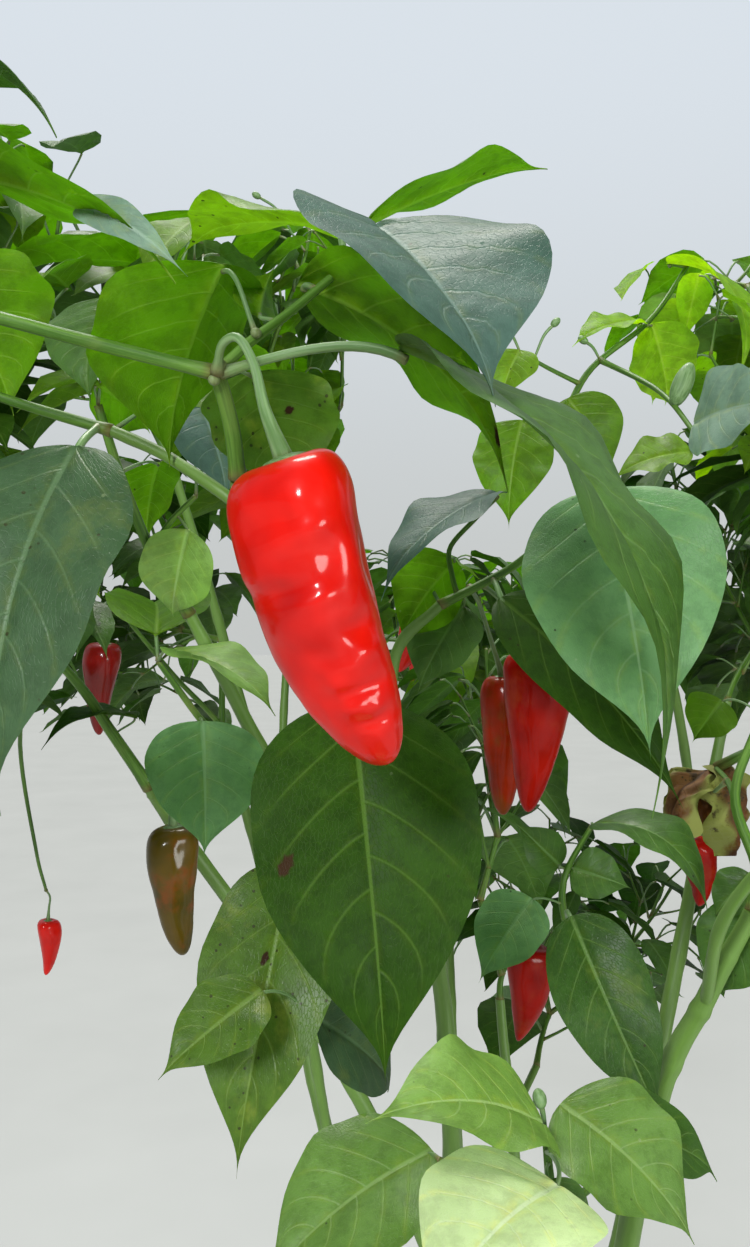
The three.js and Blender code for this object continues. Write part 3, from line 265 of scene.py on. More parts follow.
MASSES = {
    "spray_fork": mass(
        "bough_fork",
        [
            twig([(232, 430, 266), (222, 390, 261), (216, 373, 258)], 2.1, 1.9),
            twig([(216, 373, 258), (110, 347, 256), (0, 318, 252), (-105, 288, 248)], 1.7, 1.5),
            twig([(216, 373, 258), (250, 342, 262), (290, 312, 267), (345, 266, 272)], 1.4, 1.1),
        ],
        [
            leaf("bright", (222, 264, 268), (165, 464, 292), 56, 134, 0.06, 0.3, root=(220, 384, 260)),
            leaf("bright", (300, 283, 276), (515, 486, 262), 48, 114, 0.13, 0.12),
            leaf("sheen", (376, 224, 258), (503, 388, 215), 58, 50, 0.06, 0.3),
            leaf("glowing", (342, 226, 276), (182, 237, 340), 44, 104, 0.04, 0.1),
            leaf("bright", (366, 222, 280), (545, 163, 312), 36, 104, 0.03, 0.1),
            leaf("mid", (402, 346, 250), (684, 800, 212), 48, 70, 0.16, 0.15, root=(216, 375, 258)),
            leaf("bright", (-62, 168, 250), (183, 268, 238), 42, 103, 0.06, 0.1),
            leaf("mid", (-112, 20, 262), (64, 126, 250), 36, 100, 0.06, 0.1),
            leaf("bright", (257, 318, 272), (272, 268, 300), 16, 150, 0.06),
        ],
        [
            pod(
                "pod_great",
                [(217, 372, 257), (222, 345, 251), (238, 338, 248), (254, 365, 247), (265, 410, 247)],
                (284, 458, 249), (387, 764, 262), 31, 0.025,
            ),
        ],
    ),
    "spray_left_front": mass(
        "bough_left_front",
        [twig([(15, 402, 300), (-70, 372, 303)], 1.6, 1.2)],
        [
            leaf("dull", (76, 446, 286), (-8, 815, 264), 50, 25, 0.14),
            leaf("bright", (-62, 262, 292), (18, 414, 306), 48, 150, 0.06),
            leaf("specked", (252, 372, 312), (286, 505, 326), 42, 160, 0.06, root=(204, 478, 287)),
        ],
        grows=growth((-265, -250, 905), 110, 3),
        tones=("mid", "bright"),
    ),
    "spray_left_middle": mass(
        "bough_left_middle",
        [
            twig([(155, 560, 412), (122, 480, 405), (98, 405, 398)], 2.4, 1.6),
            twig([(151, 550, 411), (172, 520, 407), (196, 496, 404)], 1.3, 1),
        ],
        [
            leaf("pale", (188, 530, 404), (172, 618, 424), 30, 20, 0.12),
            leaf("bright", (158, 462, 416), (146, 546, 436), 26, 150),
            leaf("sheen", (202, 408, 404), (228, 500, 392), 38, 28, 0.08),
            leaf("mid", (108, 298, 385), (88, 402, 372), 38, 40, root=(98, 405, 398)),
            leaf("bright", (96, 384, 396), (152, 432, 400), 32, 150),
        ],
    ),
    "spray_left_heart": mass(
        "bough_left_heart",
        [twig([(198, 716, 435), (158, 661, 430)], 1.7, 1.2)],
        [
            leaf("misty", (202, 721, 425), (205, 858, 412), 46, 8, 0.06),
            leaf("pale", (171, 650, 408), (277, 712, 388), 38, 68),
            leaf("bright", (156, 634, 431), (150, 604, 498), 44, 0, 0.08, 0.35, face=at(0.1, -0.2, 1)),
        ],
    ),
    "spray_left_low": mass(
        "bough_left",
        [
            twig([(110, 730, 500), (75, 680, 490), (-10, 590, 470)], 3, 1.8),
            twig([(40, 645, 482), (20, 740, 560), (36, 850, 620), (46, 890, 645)], 1.3, 0.9),
            twig([(-10, 590, 470), (-90, 560, 455), (-150, 500, 450)], 1.6, 1.3),
        ],
        [
            leaf("deep", (137, 716, 506), (40, 744, 478), 30, 78, 0.14),
            leaf("mid", (-60, 600, 460), (-170, 700, 440), 46, 30),
        ],
        [
            pod(
                "pod_turning", [(143, 779, 511), (158, 782, 504), (170, 800, 498)], (174, 827, 496),
                (190, 954, 498), 25, 0.03,
            ),
            pod(
                "pod_small_left", [(46, 890, 645), (50, 897, 652), (49, 908, 657)], (48, 920, 660),
                (46, 975, 662), 13, 0.02,
            ),
        ],
        growth((-325, -45, 935), 150, 11),
        ("mid", "deep", "mid", "bright"),
    ),
    "spray_right_middle": mass(
        "bough_right_middle",
        [
            twig([(490, 580, 458), (522, 560, 452), (566, 520, 425), (598, 484, 402)], 2, 1.3),
            twig(
                [(458, 597, 460), (452, 575, 462), (450, 548, 462), (474, 520, 455), (497, 497, 440)],
                1.2, 1,
            ),
        ],
        [
            leaf("misty", (604, 490, 388), (652, 757, 352), 68, 6, 0.05),
            leaf("deep", (500, 598, 448), (686, 806, 422), 42, 32, 0.08),
            leaf("sheen", (497, 492, 436), (376, 590, 402), 36, 60, 0.08),
            leaf("bright", (455, 560, 474), (398, 642, 462), 38, 155, 0.08),
            leaf("mid", (464, 606, 486), (417, 692, 486), 34, 20, 0.08),
        ],
        [
            pod(
                "pod_pair_right", [(482, 584, 459), (500, 600, 472), (520, 628, 490)], (531, 654, 500),
                (535, 812, 500), 30, 0.03,
            ),
            pod(
                "pod_pair_left", [(470, 588, 459), (480, 606, 490), (494, 650, 524)], (501, 676, 532),
                (499, 815, 534), 23, 0.02,
            ),
            pod(
                "pod_behind", [(440, 604, 461), (432, 590, 478), (424, 584, 492)], (419, 592, 500),
                (398, 672, 505), 18, 0.02,
            ),
        ],
    ),
    "spray_top_right": mass(
        "bough_top_right",
        [
            twig([(590, 370, 612), (650, 320, 625), (690, 262, 640)], 2.1, 1.3),
            twig([(580, 384, 610), (548, 368, 603), (520, 352, 598)], 1.4, 1),
            twig([(600, 360, 614), (660, 392, 560), (700, 440, 520)], 1.6, 1.2),
        ],
        [
            leaf("flaring", (652, 324, 622), (668, 408, 600), 42, 158),
            leaf("flaring", (668, 262, 640), (742, 386, 590), 34, 72, 0.22),
            leaf("bright", (568, 398, 600), (614, 474, 588), 40, 22),
            leaf("bright", (522, 420, 590), (508, 528, 580), 44, 12),
            leaf("flaring", (640, 322, 625), (572, 344, 612), 34, 70),
            leaf("glowing", (692, 452, 512), (612, 478, 520), 34, 60),
            leaf("silver", (694, 424, 516), (792, 400, 470), 46, 34),
            leaf("glowing", (520, 350, 596), (500, 402, 590), 30, 20),
        ],
        grows=growth((190, 110, 1075), 130, 5),
        tones=("flaring", "bright", "glowing", "pale"),
    ),
    "spray_right_inner": mass(
        "bough_right_inner",
        [twig([(562, 898, 490), (568, 868, 494), (592, 826, 490)], 1.9, 1.2)],
        [
            leaf("dim", (562, 914, 440), (656, 1127, 408), 44, 6, 0.06),
            leaf("misty", (541, 902, 482), (487, 986, 470), 36, 12, 0.08),
            leaf("mid", (572, 868, 498), (632, 888, 488), 24, 14, 0.06),
            leaf("mid", (560, 866, 498), (516, 823, 494), 20, 14, 0.06),
            leaf("mid", (593, 824, 474), (713, 912, 442), 36, 58, 0.24),
        ],
    ),
    "spray_right_edge": mass(
        "bough_right",
        [
            twig([(757, 868, 428), (735, 800, 440), (752, 740, 450), (790, 660, 455)], 2.6, 1.6),
            twig([(735, 800, 440), (727, 780, 480), (716, 768, 520)], 1.4, 1.1),
        ],
        [
            leaf("bright", (722, 700, 470), (692, 742, 470), 24, 15),
            leaf("mid", (764, 906, 434), (712, 1000, 444), 34, 14),
            leaf("mid", (744, 874, 432), (704, 916, 438), 24, 15),
            leaf("withered", (712, 768, 528), (668, 852, 520), 30, 30, 0.3, 0.5),
        ],
        [
            pod(
                "pod_low_right", [(727, 781, 478), (706, 800, 540), (696, 822, 556)], (692, 838, 560),
                (702, 904, 560), 20, 0.02,
            ),
        ],
        growth((235, -120, 895), 140, 21),
        ("mid", "bright", "sheen"),
    ),
    "spray_right_front": mass("bough_right_front", grows=growth((118, -262, 915), 90, 25), tones=("mid",)),
    "spray_centre": mass(
        "bough_centre_front",
        [
            twig([(342, 704, 356), (346, 700, 346)], 1.9, 1.4),
            twig([(345, 712, 364), (334, 800, 388), (338, 920, 384), (314, 1016, 362)], 1.5, 1.1),
        ],
        [
            leaf("deep", (352, 702, 344), (388, 1092, 314), 70, 6, 0.05, 0.14),
            leaf("specked", (292, 862, 378), (232, 1182, 344), 46, 10, 0.06),
            leaf("specked", (262, 990, 342), (157, 1078, 324), 34, 24, 0.08),
            leaf("dull", (316, 1018, 366), (396, 1092, 398), 32, 36, 0.08),
        ],
    ),
    "spray_low_front": mass(
        "bough_low_front",
        [
            twig([(552, 1200, 338), (546, 1140, 342)], 2.2, 1.2),
            twig([(556, 1235, 336), (500, 1190, 352), (440, 1160, 366)], 1.5, 1.1),
            twig([(554, 1216, 337), (600, 1180, 355), (640, 1150, 375)], 1.5, 1.1),
            twig([(559, 1250, 336), (580, 1300, 325), (590, 1360, 318)], 1.9, 1.7),
        ],
        [
            leaf("pale", (543, 1124, 334), (368, 1118, 306), 46, 48, 0.12),
            leaf("fresh", (560, 1104, 348), (697, 1243, 326), 44, 34),
            leaf("sunlit", (558, 1186, 302), (418, 1334, 262), 50, 30, 0.12),
            leaf("fresh", (432, 1150, 372), (256, 1292, 344), 50, 30),
            leaf("mid", (600, 1122, 380), (722, 1176, 384), 38, 48),
            leaf("mid", (548, 1180, 322), (582, 1262, 306), 16, 18),
        ],
        grows=growth((-10, -235, 600), 120, 33),
        tones=("mid", "fresh", "bright"),
    ),
    "spray_top_left": mass(
        "bough_top_left",
        grows=growth((-215, 10, 1070), 130, 8),
        tones=("mid", "bright"),
    ),
    "spray_top_back": mass(
        "bough_top_back",
        grows=growth((-125, 200, 1050), 130, 41),
        tones=("bright", "mid"),
    ),
    "spray_back_left": mass(
        "bough_back_left",
        [
            twig([(222, 728, 728), (178, 680, 712), (140, 635, 690), (112, 600, 672)], 2.2, 1.1),
            twig([(222, 728, 728), (222, 640, 745)], 2.2, 2),
        ],
        [],
        [
            pod(
                "pod_dark_left", [(112, 600, 672), (104, 606, 668), (103, 622, 666)], (105, 643, 665),
                (99, 735, 668), 21, 0.03,
            ),
        ],
        growth((-225, 225, 900), 150, 14),
        ("mid", "deep", "mid"),
    ),
    "spray_back": mass("bough_back", grows=growth((-5, 285, 885), 140, 44), tones=("mid", "bright", "mid")),
    "spray_back_right": mass(
        "bough_back_right",
        grows=growth((225, 205, 920), 150, 17),
        tones=("mid", "mid", "deep"),
    ),
    "spray_inner": mass(
        "bough_inner",
        [
            twig([(502, 975, 634), (520, 930, 650)], 2.2, 1.3),
            twig([(502, 975, 634), (480, 900, 640)], 2, 1.8),
        ],
        [],
        [
            pod(
                "pod_deep_right", [(520, 930, 650), (528, 912, 662), (536, 922, 674)], (536, 944, 680),
                (519, 1038, 680), 27, 0.03,
            ),
        ],
        growth((10, 85, 780), 120, 52),
        ("deep", "mid"),
    ),
    "spray_low_back": mass("bough_low_back", grows=growth((75, 245, 650), 120, 61), tones=("deep", "mid")),
    "spray_low_right": mass(
        "bough_low_right",
        grows=growth((270, 10, 670), 125, 67),
        tones=("mid", "deep"),
    ),
}
for name, spray in MASSES.items():
    spray["name"] = name
print("masses:", len(MASSES), "placed leaves:", sum(len(spray["leaves"]) for spray in MASSES.values()))

# %% [markdown]
# A leaf's blade is ovate: broadest at a third of its length and drawn out to a point. It is bowed
# along its midrib and folded up along it like a shallow gutter. It could be made as a mesh at once,
# but most blades are tried out and dropped while the plant grows. So a blade is at first only a frame
# of vectors with its length, width, bow and fold, which is quick to test against others.

# %% Blades as frames
LEAF_LENGTH, LEAF_WIDTH_SHARE = 94, 0.54
STALK_LENGTH, STALK_RADIUS = 27, 1.1


def outline(share):
    t = np.clip(share, 0, 1)
    return t**0.6 * (1 - t) ** 1.25 / 0.3117


def blade_of(root, base, tip, face, width, bow, fold, tone="mid"):
    way = unit(tip - base)
    side = unit(np.cross(way, face))
    length = np.linalg.norm(tip - base)
    blade = {"root": root, "base": base, "tip": tip, "way": way, "side": side}
    blade |= {"over": np.cross(side, way), "middle": (base + tip) / 2, "length": length}
    return blade | {"width": width, "bow": bow, "fold": fold, "tone": tone}


def on_blade(blade, share, across):
    half = blade["width"] / 2 * outline(share)
    high = blade["fold"] * abs(across) * half + blade["bow"] * 4 * blade["length"] * share * (1 - share)
    spine = blade["base"] + blade["way"] * blade["length"] * share
    return spine + blade["side"] * across * half + blade["over"] * high


def placed_blade(entry, twigs):
    way = unit(entry["tip"] - entry["base"])
    to_eye = square_to(EYE - (entry["base"] + entry["tip"]) / 2, way)
    across = np.cross(to_eye, way)
    roll = math.radians(entry["roll"])
    skyward = across * np.sign(across[2])
    face = to_eye * math.cos(roll) + skyward * math.sin(roll)
    if entry["face"] is not None:
        face = entry["face"]
    places = np.vstack([line_of(one["points"], 30) for one in twigs])
    root = places[np.argmin(np.linalg.norm(places - entry["anchor"], axis=1))]
    shape = (entry["width"], entry["bow"], entry["fold"], entry["tone"])
    return blade_of(root, entry["base"], entry["tip"], face, *shape)


print("a full leaf is", LEAF_LENGTH, "by", round(LEAF_LENGTH * LEAF_WIDTH_SHARE), "mm")

# %% [markdown]
# On a real plant no two parts run through each other, so the script has to know what is already
# there. That could be tested on meshes, but slowly. Two lists that can be searched at once do it in
# seconds: rods, as short straight segments with a radius, for limbs, twigs and pods, and blades for
# leaves.

# %% What the plant holds
CLEAR = 3
CHAIN_SHARES = (0.02, 0.2, 0.4, 0.6, 0.8, 1)
SHELF_ROOM = 9000
VECTOR, NUMBER = (3,), ()


class Shelf:
    """Rows of numbers that grow one by one and are read all at once."""

    def __init__(self, **shapes):
        self.count = 0
        self.rows = {name: np.zeros((SHELF_ROOM, *shape)) for name, shape in shapes.items()}

    def add(self, **values):
        for name, value in values.items():
            self.rows[name][self.count] = value
        self.count += 1

    def __getitem__(self, name):
        return self.rows[name][: self.count]


held_blades = Shelf(
    base=VECTOR, way=VECTOR, side=VECTOR, over=VECTOR, middle=VECTOR,
    length=NUMBER, width=NUMBER, bow=NUMBER, fold=NUMBER, chains=(3, len(CHAIN_SHARES), 3),
)
held_rods = Shelf(start=VECTOR, end=VECTOR, radius=NUMBER, owner=NUMBER, middle=VECTOR, reach=NUMBER)
rod_tips = []


def blade_chains(blade):
    return np.array([[on_blade(blade, share, across) for share in CHAIN_SHARES] for across in (-1, 0, 1)])


def hold_blade(blade):
    kept = {name: blade[name] for name in held_blades.rows if name != "chains"}
    held_blades.add(**kept, chains=blade_chains(blade))


def hold_rod(points, radius):
    points = np.asarray(points, float)
    middle = points.mean(axis=0)
    reach = np.linalg.norm(points - middle, axis=1).max()
    owner = len(rod_tips)
    rod_tips.append(points[-1])
    for start, end in zip(points[:-1], points[1:]):
        held_rods.add(start=start, end=end, radius=radius, owner=owner, middle=middle, reach=reach)
    return owner


print("a blade is tested at", 3 * len(CHAIN_SHARES), "of its points")

# %% [markdown]
# Whether a straight piece passes through a leaf is worked out in the leaf's own frame: how far along
# the midrib each end lies, how far across, and how high over the bowed and folded sheet. If the two
# ends lie on different sides, the place of the cut is tested against the outline. The arrays
# broadcast, so hundreds of pairs are tested in one call.


# %% Segments against blades
def in_outline(blades, share, across, clear):
    inside = np.abs(across) < blades["width"] / 2 * outline(share) + clear / 2
    return inside & (share > -0.02) & (share < 1.02)


def over_blades(blades, points):
    """Where points lie over blades: how far along them, across them and above them."""
    arm = points - blades["base"]
    share = dot(arm, blades["way"]) / blades["length"]
    across = dot(arm, blades["side"])
    along = np.clip(share, 0, 1)
    bowed = blades["bow"] * 4 * blades["length"] * along * (1 - along)
    return share, across, dot(arm, blades["over"]) - bowed - blades["fold"] * np.abs(across)


def crosses(starts, ends, blades, clear=CLEAR):
    """Which pairs of a segment and a blade cross or come near; the two broadcast."""
    share, across, high = over_blades(blades, starts)
    share_end, across_end, high_end = over_blades(blades, ends)
    near = (np.abs(high) < clear) & in_outline(blades, share, across, clear)
    near |= (np.abs(high_end) < clear) & in_outline(blades, share_end, across_end, clear)
    through = high * high_end < 0
    cut = np.where(through, high / np.where(through, high - high_end, 1), 0)
    at_cut = share + (share_end - share) * cut, across + (across_end - across) * cut
    return near | (through & in_outline(blades, *at_cut, clear))


def spread_out(source, axes, chosen=...):
    """A shelf's or a blade's values with axes added, to broadcast them against points."""
    names = ("base", "way", "side", "over", "length", "width", "bow", "fold")
    values = {name: np.asarray(source[name])[chosen] for name in names}
    for name, value in values.items():
        tail = 1 if name in ("base", "way", "side", "over") else 0
        at_axis = value.ndim - tail
        values[name] = value.reshape(value.shape[:at_axis] + (1,) * axes + value.shape[at_axis:])
    return values


def segments_from(points, starts, ends):
    """Distances from points [p, 3] to segments [s, 3], as [p, s]."""
    step = ends - starts
    arm = points[:, None] - starts
    share = np.clip(dot(arm, step) / np.maximum(dot(step, step), 1e-6), 0, 1)
    return np.linalg.norm(arm - share[..., None] * step, axis=-1)


def chain_meets_blades(chain, clear=CLEAR):
    if not held_blades.count:
        return False
    far = np.linalg.norm(held_blades["middle"] - chain.mean(axis=0), axis=1)
    near = far < held_blades["length"] + np.ptp(chain, axis=0).max() + 20
    blades = spread_out(held_blades, 1, near)
    return bool(crosses(chain[:-1], chain[1:], blades, clear).any())


def chain_meets_rods(chain, radius, but=-1, clear=CLEAR):
    others = held_rods["owner"] != but
    starts, ends = held_rods["start"][others], held_rods["end"][others]
    gap = radius + held_rods["radius"][others] + clear
    if (segments_from(chain, starts, ends) < gap).any():
        return True
    for points in (starts, ends):
        if (segments_from(points, chain[:-1], chain[1:]).min(axis=1) < gap).any():
            return True
    return False


def blade_meets_blades(blade, clear=CLEAR):
    far = np.linalg.norm(held_blades["middle"] - blade["middle"], axis=1)
    near = far <= (held_blades["length"] + blade["length"]) * 0.6
    if not near.any():
        return False
    own, others = blade_chains(blade), held_blades["chains"][near]
    over_others = crosses(own[:, :-1], own[:, 1:], spread_out(held_blades, 2, near), clear)
    over_own = crosses(others[:, :, :-1], others[:, :, 1:], spread_out(blade, 0), clear)
    stalk = crosses(blade["root"], blade["base"], spread_out(held_blades, 0, near), clear)
    return bool(over_others.any() or over_own.any() or stalk.any())


def blade_meets_rods(blade, but=-1, clear=CLEAR):
    far = np.linalg.norm(held_rods["middle"] - blade["middle"], axis=1)
    far = far - held_rods["reach"] - held_rods["radius"] - clear
    near = (far <= blade["length"] * 0.62) & (held_rods["owner"] != but)
    if not near.any():
        return False
    starts, ends = held_rods["start"][near], held_rods["end"][near]
    if crosses(starts, ends, spread_out(blade, 0), clear).any():
        return True
    edge = blade_chains(blade).reshape(-1, 3)
    return bool((segments_from(edge, starts, ends) < held_rods["radius"][near] + clear).any())


def rod_meets_blades(points, radius):
    middle = points.mean(axis=0)
    reach = np.linalg.norm(points - middle, axis=1).max()
    far = np.linalg.norm(held_blades["middle"] - middle, axis=1) - reach - radius - CLEAR
    near = far <= held_blades["length"] * 0.62
    if not near.any():
        return False
    if crosses(points[:-1], points[1:], spread_out(held_blades, 1, near)).any():
        return True
    edge = held_blades["chains"][near].reshape(-1, 3)
    return bool((segments_from(edge, points[:-1], points[1:]) < radius + CLEAR).any())


print("an empty plant is met by nothing:", not chain_meets_blades(at(0, 0, 0)[None]))

# %% [markdown]
# First everything that was given one by one is put on the two lists: the stem and the boughs, then the
# twigs, pods and leaves of each mass. The first twig of a mass starts at its bough's tip, so that the
# sap has a way through, and every leaf looks for the nearest twig to grow from.

# %% Holding what was placed
for one in [STEM, *BOUGHS.values()]:
    hold_rod(line_of(one["points"], 14), one["radii"][0])
placed_blades = []
for spray in MASSES.values():
    if spray["twigs"]:
        spray["twigs"][0]["points"].insert(0, BOUGHS[spray["bough"]]["points"][-1])
    blades = [placed_blade(entry, spray["twigs"]) for entry in spray["leaves"]]
    for one in spray["twigs"]:
        hold_rod(line_of(one["points"], 10), one["radii"][0])
    for one in spray["pods"]:
        hold_rod([one["top"], (one["top"] + one["tip"]) / 2, one["tip"]], one["width"] / 2)
        hold_rod([*one["path"], one["top"]], 1.3)
    for blade in blades:
        hold_blade(blade)
    placed_blades += blades
print("held at first:", held_blades.count, "blades and", held_rods.count, "segments of rods")

# %% [markdown]
# The rule by which such a plant grows: a twig runs into the mass's space and forks in three, each
# of those forks in two, and leaves stand round the twigs at the golden angle, bases up and tips
# drooping. Numbers from chance keep it from looking built, and a seed always gives the same row of
# numbers, so the plant is always the same one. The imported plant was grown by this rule, and here it
# is written again.

# %% The rule of growth
TWIG_LENGTH = 78
TWIG_RADII = (2.2, 1.8, 1.5, 1.2, 0.9, 0.7)
FORKS = (3, 2, 0)
SPREAD = (0.55, 0.9)
SHORTER, TWIG_VARIES, TWIG_RISE, TWIG_REACH = 0.82, (0.85, 1.1), 0.15, 0.85
LEAF_SHARES = ((0.6, 1), (0.55, 1), (0.45, 0.8, 1, 1))
LEAF_SIZES = (1.05, 1, 0.86)
LEAF_TRIES = 6
GOLDEN_ANGLE = 2.4
POD_LENGTH, POD_WIDTH = 62, 24
NEAR = 455

# Windows through the crown, as the eye sees them: nothing is grown across them.
WINDOWS = {
    "over the crown": ((-900, 1700), (-900, 55)),
    "over the left and middle": ((115, 545), (-900, 205)),
    "over the right": ((545, 1000), (-900, 250)),
    "beside the great pod": ((348, 500), (285, 545)),
    "low on the left": ((-60, 150), (735, 1320)),
    "under the left sprays": ((150, 262), (960, 1320)),
    "between the right sprays": ((575, 645), (715, 810)),
    "low on the right": ((668, 720), (1000, 1110)),
}


class Draw:
    def __init__(self, seed):
        self.state = seed & 0xFFFFFFFF
        self.next()
        self.next()

    def next(self):
        self.state = (self.state * 1664525 + 1013904223) & 0xFFFFFFFF
        return self.state / 4294967296

    def between(self, low, high):
        return low + (high - low) * self.next()


def spoils_the_view(points):
    across, down, off = sight_of(np.asarray(points))
    wide = (across > -MARGIN) & (across < PICTURE_WIDTH + MARGIN)
    high = (down > -MARGIN) & (down < PICTURE_HEIGHT + MARGIN)
    spoils = wide & high & (off < NEAR)
    for (left, right), (top, bottom) in WINDOWS.values():
        spoils |= (across > left) & (across < right) & (down > top) & (down < bottom)
    return bool(spoils.any())


def between(start, end, share):
    return start + (end - start) * share


print("windows:", len(WINDOWS), "first draw of seed 3:", round(Draw(3).next(), 3))

# %% [markdown]
# Twigs grow first, because they are what leaves and pods stand on. Each is a straight rod here with
# a way and a twist, and it calls for its own forks, turned evenly round it and raised a little to
# the sky. A twig that would leave its mass, spoil a window or run into something isn't grown.


# %% Growing twigs
def grow_twig(spray, start, way, length, rank, seed, parent):
    draw = Draw(seed)
    twist = draw.between(0, 2 * math.pi)
    end = start + way * length
    chain = np.array([between(start, end, share) for share in (0.3, 0.5, 0.75, 1)])
    heart, reach = spray["grows"]["heart"], spray["grows"]["reach"]
    if rank > 0 and np.linalg.norm(end - heart) > reach * TWIG_REACH:
        return
    if spoils_the_view(chain) or chain_meets_blades(chain):
        return
    if chain_meets_rods(chain, TWIG_RADII[rank], parent):
        return
    rod = hold_rod([start, end], TWIG_RADII[rank])
    grown = {"points": (start, end), "rank": rank, "way": way, "twist": twist, "seed": seed, "rod": rod}
    spray["grown"].append(grown)
    for fork in range(FORKS[rank]):
        aside = turned(square_to(UP, way), way, twist + 2 * math.pi * fork / FORKS[rank])
        onward = unit(way + aside * math.tan(draw.between(*SPREAD)) + UP * TWIG_RISE)
        further = TWIG_LENGTH * SHORTER**rank * draw.between(*TWIG_VARIES)
        grow_twig(spray, end, onward, further, rank + 1, seed * 5 + fork + 1, rod)


def grow_twigs(spray):
    heart, reach, seed = (spray["grows"][key] for key in ("heart", "reach", "seed"))
    last = spray["twigs"][-1] if spray["twigs"] else BOUGHS[spray["bough"]]
    start = last["points"][-1]
    far = np.linalg.norm(start - heart)
    length = max(TWIG_LENGTH * 0.5, far - reach * 0.4)
    parent = next(i for i, tip in enumerate(rod_tips) if np.linalg.norm(tip - start) < 1)
    grow_twig(spray, start, (heart - start) / far, length, 0, seed, parent)


print("twigs fork in", *FORKS[:2])

# %% [markdown]
# Every leaf stands on a stalk that leaves its twig outwards and a little onwards and upwards. The
# blade then hangs from it by its own weight, face to the sky. Where the first place on the twig is
# taken, the leaf turns on by the golden angle and tries again, as a real shoot bends its leaf stalks
# to the light. Pods are heavy, so they hang nearly straight down from a stalk that rises from a fork
# and arches over. They are grown before the leaves, so that the leaves give way to them.


# %% Growing leaves
def grown_blade(root, way, turn, size, draw):
    out = turned(square_to(UP, way), way, turn)
    stalk = unit(out + way * 0.7 + UP * 0.35)
    base = root + stalk * STALK_LENGTH * draw.between(0.75, 1.25) * min(1, size + 0.2)
    flat = square_to(stalk + unit(at(base[0], base[1], 0)) * 0.6, UP)
    hang = unit(flat - UP * draw.between(0.25, 1.25))
    length = LEAF_LENGTH * size * draw.between(0.82, 1.14)
    lean = UP + flat * 0.5 + np.cross(flat, UP) * draw.between(-0.5, 0.5)
    width = length * LEAF_WIDTH_SHARE * draw.between(0.88, 1.12)
    bow, fold = draw.between(0.04, 0.13), draw.between(0.12, 0.3)
    return blade_of(root, base, base + hang * length, square_to(lean, hang), width, bow, fold)


def leaf_fits(spray, blade, own, clear=CLEAR):
    edge = blade_chains(blade).reshape(-1, 3)
    heart, reach = spray["grows"]["heart"], spray["grows"]["reach"]
    if (np.linalg.norm(edge - heart, axis=1) > reach).any() or spoils_the_view(edge):
        return False
    return not (blade_meets_blades(blade, clear) or blade_meets_rods(blade, own, clear))


def grow_leaf(spray, grown, slot, share, size, clear=CLEAR):
    draw = Draw(grown["seed"] + 1000 * (slot + 1))
    root = between(*grown["points"], share)
    for attempt in range(LEAF_TRIES):
        turn = grown["twist"] + 1.1 + GOLDEN_ANGLE * (slot + attempt)
        blade = grown_blade(root, grown["way"], turn, size, draw)
        if leaf_fits(spray, blade, grown["rod"], clear):
            spray["blades"].append(blade)
            hold_blade(blade)
            return


def grow_pods(spray):
    for grown in [one for one in spray["grown"] if one["rank"] == 1][:1]:
        draw = Draw(grown["seed"] + 2000)
        fork, way = grown["points"][1], grown["way"]
        out = square_to(turned(square_to(UP, way), way, grown["twist"] + 0.5), UP)
        top = fork + out * 17 - UP * 16
        length = POD_LENGTH * draw.between(0.8, 1.15)
        lean = -UP + out * draw.between(0, 0.3) + way * draw.between(-0.15, 0.15)
        tip = top + unit(lean) * length
        width = POD_WIDTH * draw.between(0.85, 1.1)
        curve = draw.between(0, 0.04)
        body = np.array([top, (top + tip) / 2, tip])
        if spoils_the_view(body) or rod_meets_blades(body, width / 2):
            continue
        if chain_meets_rods(body[1:], width / 2):
            continue
        path = [fork, fork + out * 5 + UP * 5, fork + out * 9 + UP * 5, fork + out * 15 - UP * 3]
        spray["fruits"].append({"path": path, "top": top, "tip": tip, "width": width, "curve": curve})
        hold_rod(body, width / 2)


growing = []
for spray in MASSES.values():
    spray |= {"grown": [], "blades": [], "fruits": []}
    if spray["grows"]:
        growing.append(spray)
for spray in growing:
    grow_twigs(spray)
for spray in growing:
    grow_pods(spray)
for spray in growing:
    for grown in spray["grown"]:
        for slot, share in enumerate(LEAF_SHARES[grown["rank"]]):
            grow_leaf(spray, grown, slot, share, LEAF_SIZES[grown["rank"]])
for spray in growing:
    print(spray["name"], *(f"{len(spray[kind])} {kind}" for kind in ("grown", "blades", "fruits")))

# %% [markdown]
# Beyond the CAD plant's twigs the real one goes on: each outer twig forks again and again into
# thinner ones with smaller leaves, down to short shoots in the leaf axils. The same rule is carried
# on here, within the same reach of each mass and with the same tests, so the crown fills up
# without growing larger.

# %% Finer twigs with smaller leaves
FINER_CLEAR, FINER_FORKS, FINER_REACH = 1.6, 2, 0.96
FINER_ROUNDS = (
    {"on": "grown", "share": 1.0, "length": 34, "shares": (0.5, 0.9, 1), "size": 0.66, "rank": 3},
    {"on": "grown", "share": 0.5, "length": 32, "shares": (0.55, 0.9, 1), "size": 0.62, "rank": 3},
    {"on": "finer", "share": 1.0, "length": 25, "shares": (0.6, 1, 1), "size": 0.52, "rank": 4},
)


